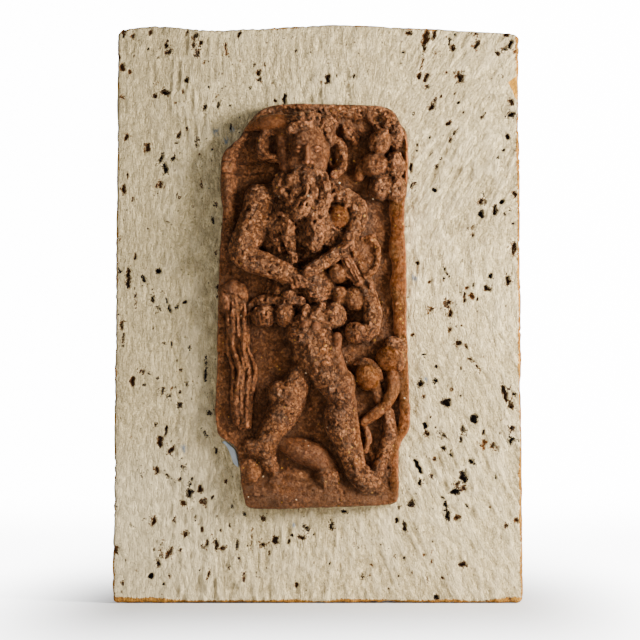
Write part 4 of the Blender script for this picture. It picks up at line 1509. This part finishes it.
def makePaintedCork(grainGroup, fleckGroup, facetGroup, brushGroup):
    material, tree, shader = newMaterial("paintedCork")
    place = objectPlace(tree)
    upright = objectPlace(tree, (1, 1, 0.45))
    brush = useGroup(tree, brushGroup, LeanRight=attribute(tree, "leanRight"),
                     LeanLeft=attribute(tree, "leanLeft"))
    broad = noise(place, 22.0, 4.0)
    middle = noise(upright, 150.0, 4.0, 0.62)
    small = brush["Ridges"]
    fine = noise(place, 900.0, 3.0, 0.65)
    height, tone = attribute(tree, "hollowness"), attribute(tree, "tone")
    wrinkle = calc("ABSOLUTE", minus(small, 0.5))
    furrow = calc("ABSOLUTE", minus(middle, 0.5))
    x, _, z = apart(place)
    leftSide = remap(x, -0.05, -0.085)
    blue = times(remap(attribute(tree, "blueMark"), 1.1, 0.3), remap(small, 0.42, 0.6))
    paint = layered(
        blend(remap(broad, 0.35, 0.68), boardTint["paint"], boardTint["newPaint"]),
        (remap(middle, 0.52, 0.7, 0.0, 0.25), boardTint["worn"]),
        (remap(fine, 0.53, 0.62, 0.0, 0.7), boardTint["fleck"]),
        (remap(fine, 0.46, 0.37, 0.0, 0.75), boardTint["dint"]),
        (remap(wrinkle, 0.04, 0.0, 0.0, 0.4), boardTint["wrinkle"]),
        (remap(furrow, 0.018, 0.0, 0.0, 0.45), boardTint["furrow"]),
        (times(leftSide, remap(z, -0.1, -0.04, 0.0, 0.3)), boardTint["grime"]),
        (times(leftSide, remap(z, -0.07, -0.12, 0.0, 0.7)), boardTint["clean"]),
        (remap(height, -0.9, 0.1, 0.0, 0.6), boardTint["high"]),
        (remap(height, -1.0, -2.2, 0.0, 0.7), boardTint["low"]),
        (times(blue, 0.7), boardTint["blue"]))
    lenticels = useGroup(tree, fleckGroup, Place=place, Scale=240.0, Share=0.2, Radius=0.3)["Mask"]
    cork = layered(
        blend(remap(middle, 0.35, 0.7), boardTint["cork"], boardTint["lightCork"]),
        (remap(fine, 0.5, 0.62, 0.0, 0.75), boardTint["corkGrain"]),
        (times(lenticels, 0.8), boardTint["lenticel"]))
    wobble = minus(plus(fine, small), 1.0)
    rim = plus(attribute(tree, "rimBare"), times(wobble, 3.2))
    spot = plus(attribute(tree, "bareSpot"), times(wobble, 0.3))
    freedom = plus(times(attribute(tree, "torn"), 10.0), 1.8)
    ragged = plus(attribute(tree, "pit"), times(wobble, 1.05, freedom))
    pit = layered(
        blend(tone, boardTint["pit"], boardTint["barePit"]),
        (remap(small, 0.48, 0.42, 0.0, 0.8), boardTint["pitGrain"]),
        (remap(ragged, -0.8, -2.2, 0.0, 0.5), boardTint["deepPit"]))
    color = layered(
        paint,
        (remap(rim, -0.05, 0.2), cork),
        (remap(spot, 0.12, 0.18), boardTint["chip"]),
        (remap(ragged, 0.8, 0.1, 0.0, 0.5), blend(tone, boardTint["ring"], boardTint["bareRing"])),
        (remap(ragged, 0.16, -0.02), pit))
    bend = put(tree, "ShaderNodeTexNoise", Vector=place, Scale=900.0, Detail=2.0).outputs["Color"]
    bent = vectorCalc("MULTIPLY_ADD", bend, (0.0011, 0.0011, 0.0014), place)
    gathered = remap(noise(place, 30.0, 3.0), 0.45, 0.6)
    for scale, share, radius in ((420.0, 0.16, 0.2), (170.0, 0.09, 0.1)):
        speck = useGroup(tree, fleckGroup, Place=bent, Scale=scale, Share=share, Radius=radius)["Mask"]
        color = blend(times(speck, gathered, 0.85), color, boardTint["speck"])
    feed(shader.inputs["Base Color"], color)
    feed(shader.inputs["Roughness"], 0.8)
    feed(shader.inputs["Specular IOR Level"], 0.25)
    grain = useGroup(tree, grainGroup, Place=place, Size=1.0)["Height"]
    relief = plus(times(brush["Hairs"], 1.6), times(grain, 0.6), times(small, 4.0), times(furrow, 2.4),
                  times(wrinkle, 4.2), times(middle, 0.9))
    flakes, chips = (useGroup(tree, facetGroup, Place=upright, Scale=scale, Tilt=tilt)["Height"]
                     for scale, tilt in ((190.0, 0.42), (460.0, 0.45)))
    bumpy(shader, plus(times(relief, 0.0018), plus(flakes, chips)))
    return material


# The bead of putty at the notch

putty = {
    "tints": ((0.30, 0.34, 0.37), (0.42, 0.46, 0.49)),
    "roughness": 0.55,
    "cuts": 2,
    "smoothing": 4,        # rounds
}


def makePutty(material):
    work = bmesh.new()
    work.from_mesh(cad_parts["fixing_putty"].data)
    bmesh.ops.remove_doubles(work, verts=work.verts, dist=1e-6)
    bmesh.ops.subdivide_edges(work, edges=work.edges, cuts=putty["cuts"], use_grid_fill=True)
    for _ in range(putty["smoothing"]):
        bmesh.ops.smooth_vert(work, verts=work.verts, factor=0.5, use_axis_x=True, use_axis_y=False,
                              use_axis_z=True)
    bmesh.ops.recalc_face_normals(work, faces=work.faces)
    mesh = bpy.data.meshes.new("puttyBead")
    work.to_mesh(mesh)
    work.free()
    mesh.shade_smooth()
    mesh.materials.append(material)
    piece = placed("fixing_putty_skin", mesh)
    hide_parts("fixing_putty")
    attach(piece, "root")


def makePuttyMaterial(grainGroup):
    material, tree, shader = newMaterial("putty")
    place = objectPlace(tree)
    feed(shader.inputs["Base Color"], blend(remap(noise(place, 130.0, 3.0), 0.35, 0.7), *putty["tints"]))
    feed(shader.inputs["Roughness"], putty["roughness"])
    bumpy(shader, useGroup(tree, grainGroup, Place=place, Size=1.6)["Height"], 0.0003, 0.5)
    return material


# The white surface behind and below

floor = -0.2016        # metres
sweepProfile = [        # y and z in metres, from the front to the top
    (-3.0, floor), (-0.6, floor), (0.3, floor), (0.5, -0.19), (0.62, -0.14), (0.68, -0.05), (0.7, 0.3),
    (0.7, 2.6),
]
glow = {        # for the camera alone, the white surface shines away from the plaque
    "halfWide": 0.125,
    "middle": 0.02,
    "depthShare": 0.3,
    "aside": (0.0, 0.18, 0.0, 9.0),         # metres from and to, strength from and to
    "above": (0.0, 0.05, 0.0, 5.0),
}


def makeStage():
    mesh = bpy.data.meshes.new("sweep")
    points = [(x, y, z) for y, z in sweepProfile for x in (-3, 3)]
    faces = [(2 * i, 2 * i + 1, 2 * i + 3, 2 * i + 2) for i in range(len(sweepProfile) - 1)]
    mesh.from_pydata(points, [], faces)
    mesh.shade_smooth()
    material, tree, shader = newMaterial("whiteSurface")
    surface = {"Base Color": (0.9, 0.9, 0.9, 1), "Roughness": 0.9, "Emission Color": (1, 1, 1, 1)}
    for name, value in surface.items():
        feed(shader.inputs[name], value)
    x, y, z = apart(objectPlace(tree))
    aside = calc("MAXIMUM", minus(calc("ABSOLUTE", x), glow["halfWide"]), 0.0)
    before = times(calc("ABSOLUTE", plus(y, glow["middle"])), glow["depthShare"])
    away = calc("SQRT", plus(calc("POWER", aside, 2.0), calc("POWER", before, 2.0)))
    strength = plus(remap(away, *glow["aside"]), remap(plus(z, -floor), *glow["above"]))
    seen = tree.nodes.new("ShaderNodeLightPath").outputs["Is Camera Ray"]
    feed(shader.inputs["Emission Strength"], times(seen, strength))
    clear = tree.nodes.new("ShaderNodeBsdfTransparent")
    mix = tree.nodes.new("ShaderNodeMixShader")
    backfacing = tree.nodes.new("ShaderNodeNewGeometry").outputs["Backfacing"]
    for socket, value in zip(mix.inputs, (backfacing, shader.outputs[0], clear.outputs[0])):
        feed(socket, value)
    feed(tree.nodes["Material Output"].inputs["Surface"], mix.outputs[0])
    mesh.materials.append(material)
    sweep = placed("sweep", mesh)


makeCamera()
makeLights()
grainGroup, fleckGroup, facetGroup = makeGrainGroup(), makeFleckGroup(), makeFacetGroup()
makeBoard(makePaintedCork(grainGroup, fleckGroup, facetGroup, makeBrushGroup()))
makeRelief(makeTerracotta(grainGroup, fleckGroup, facetGroup))
makePutty(makePuttyMaterial(grainGroup))
makeStage()
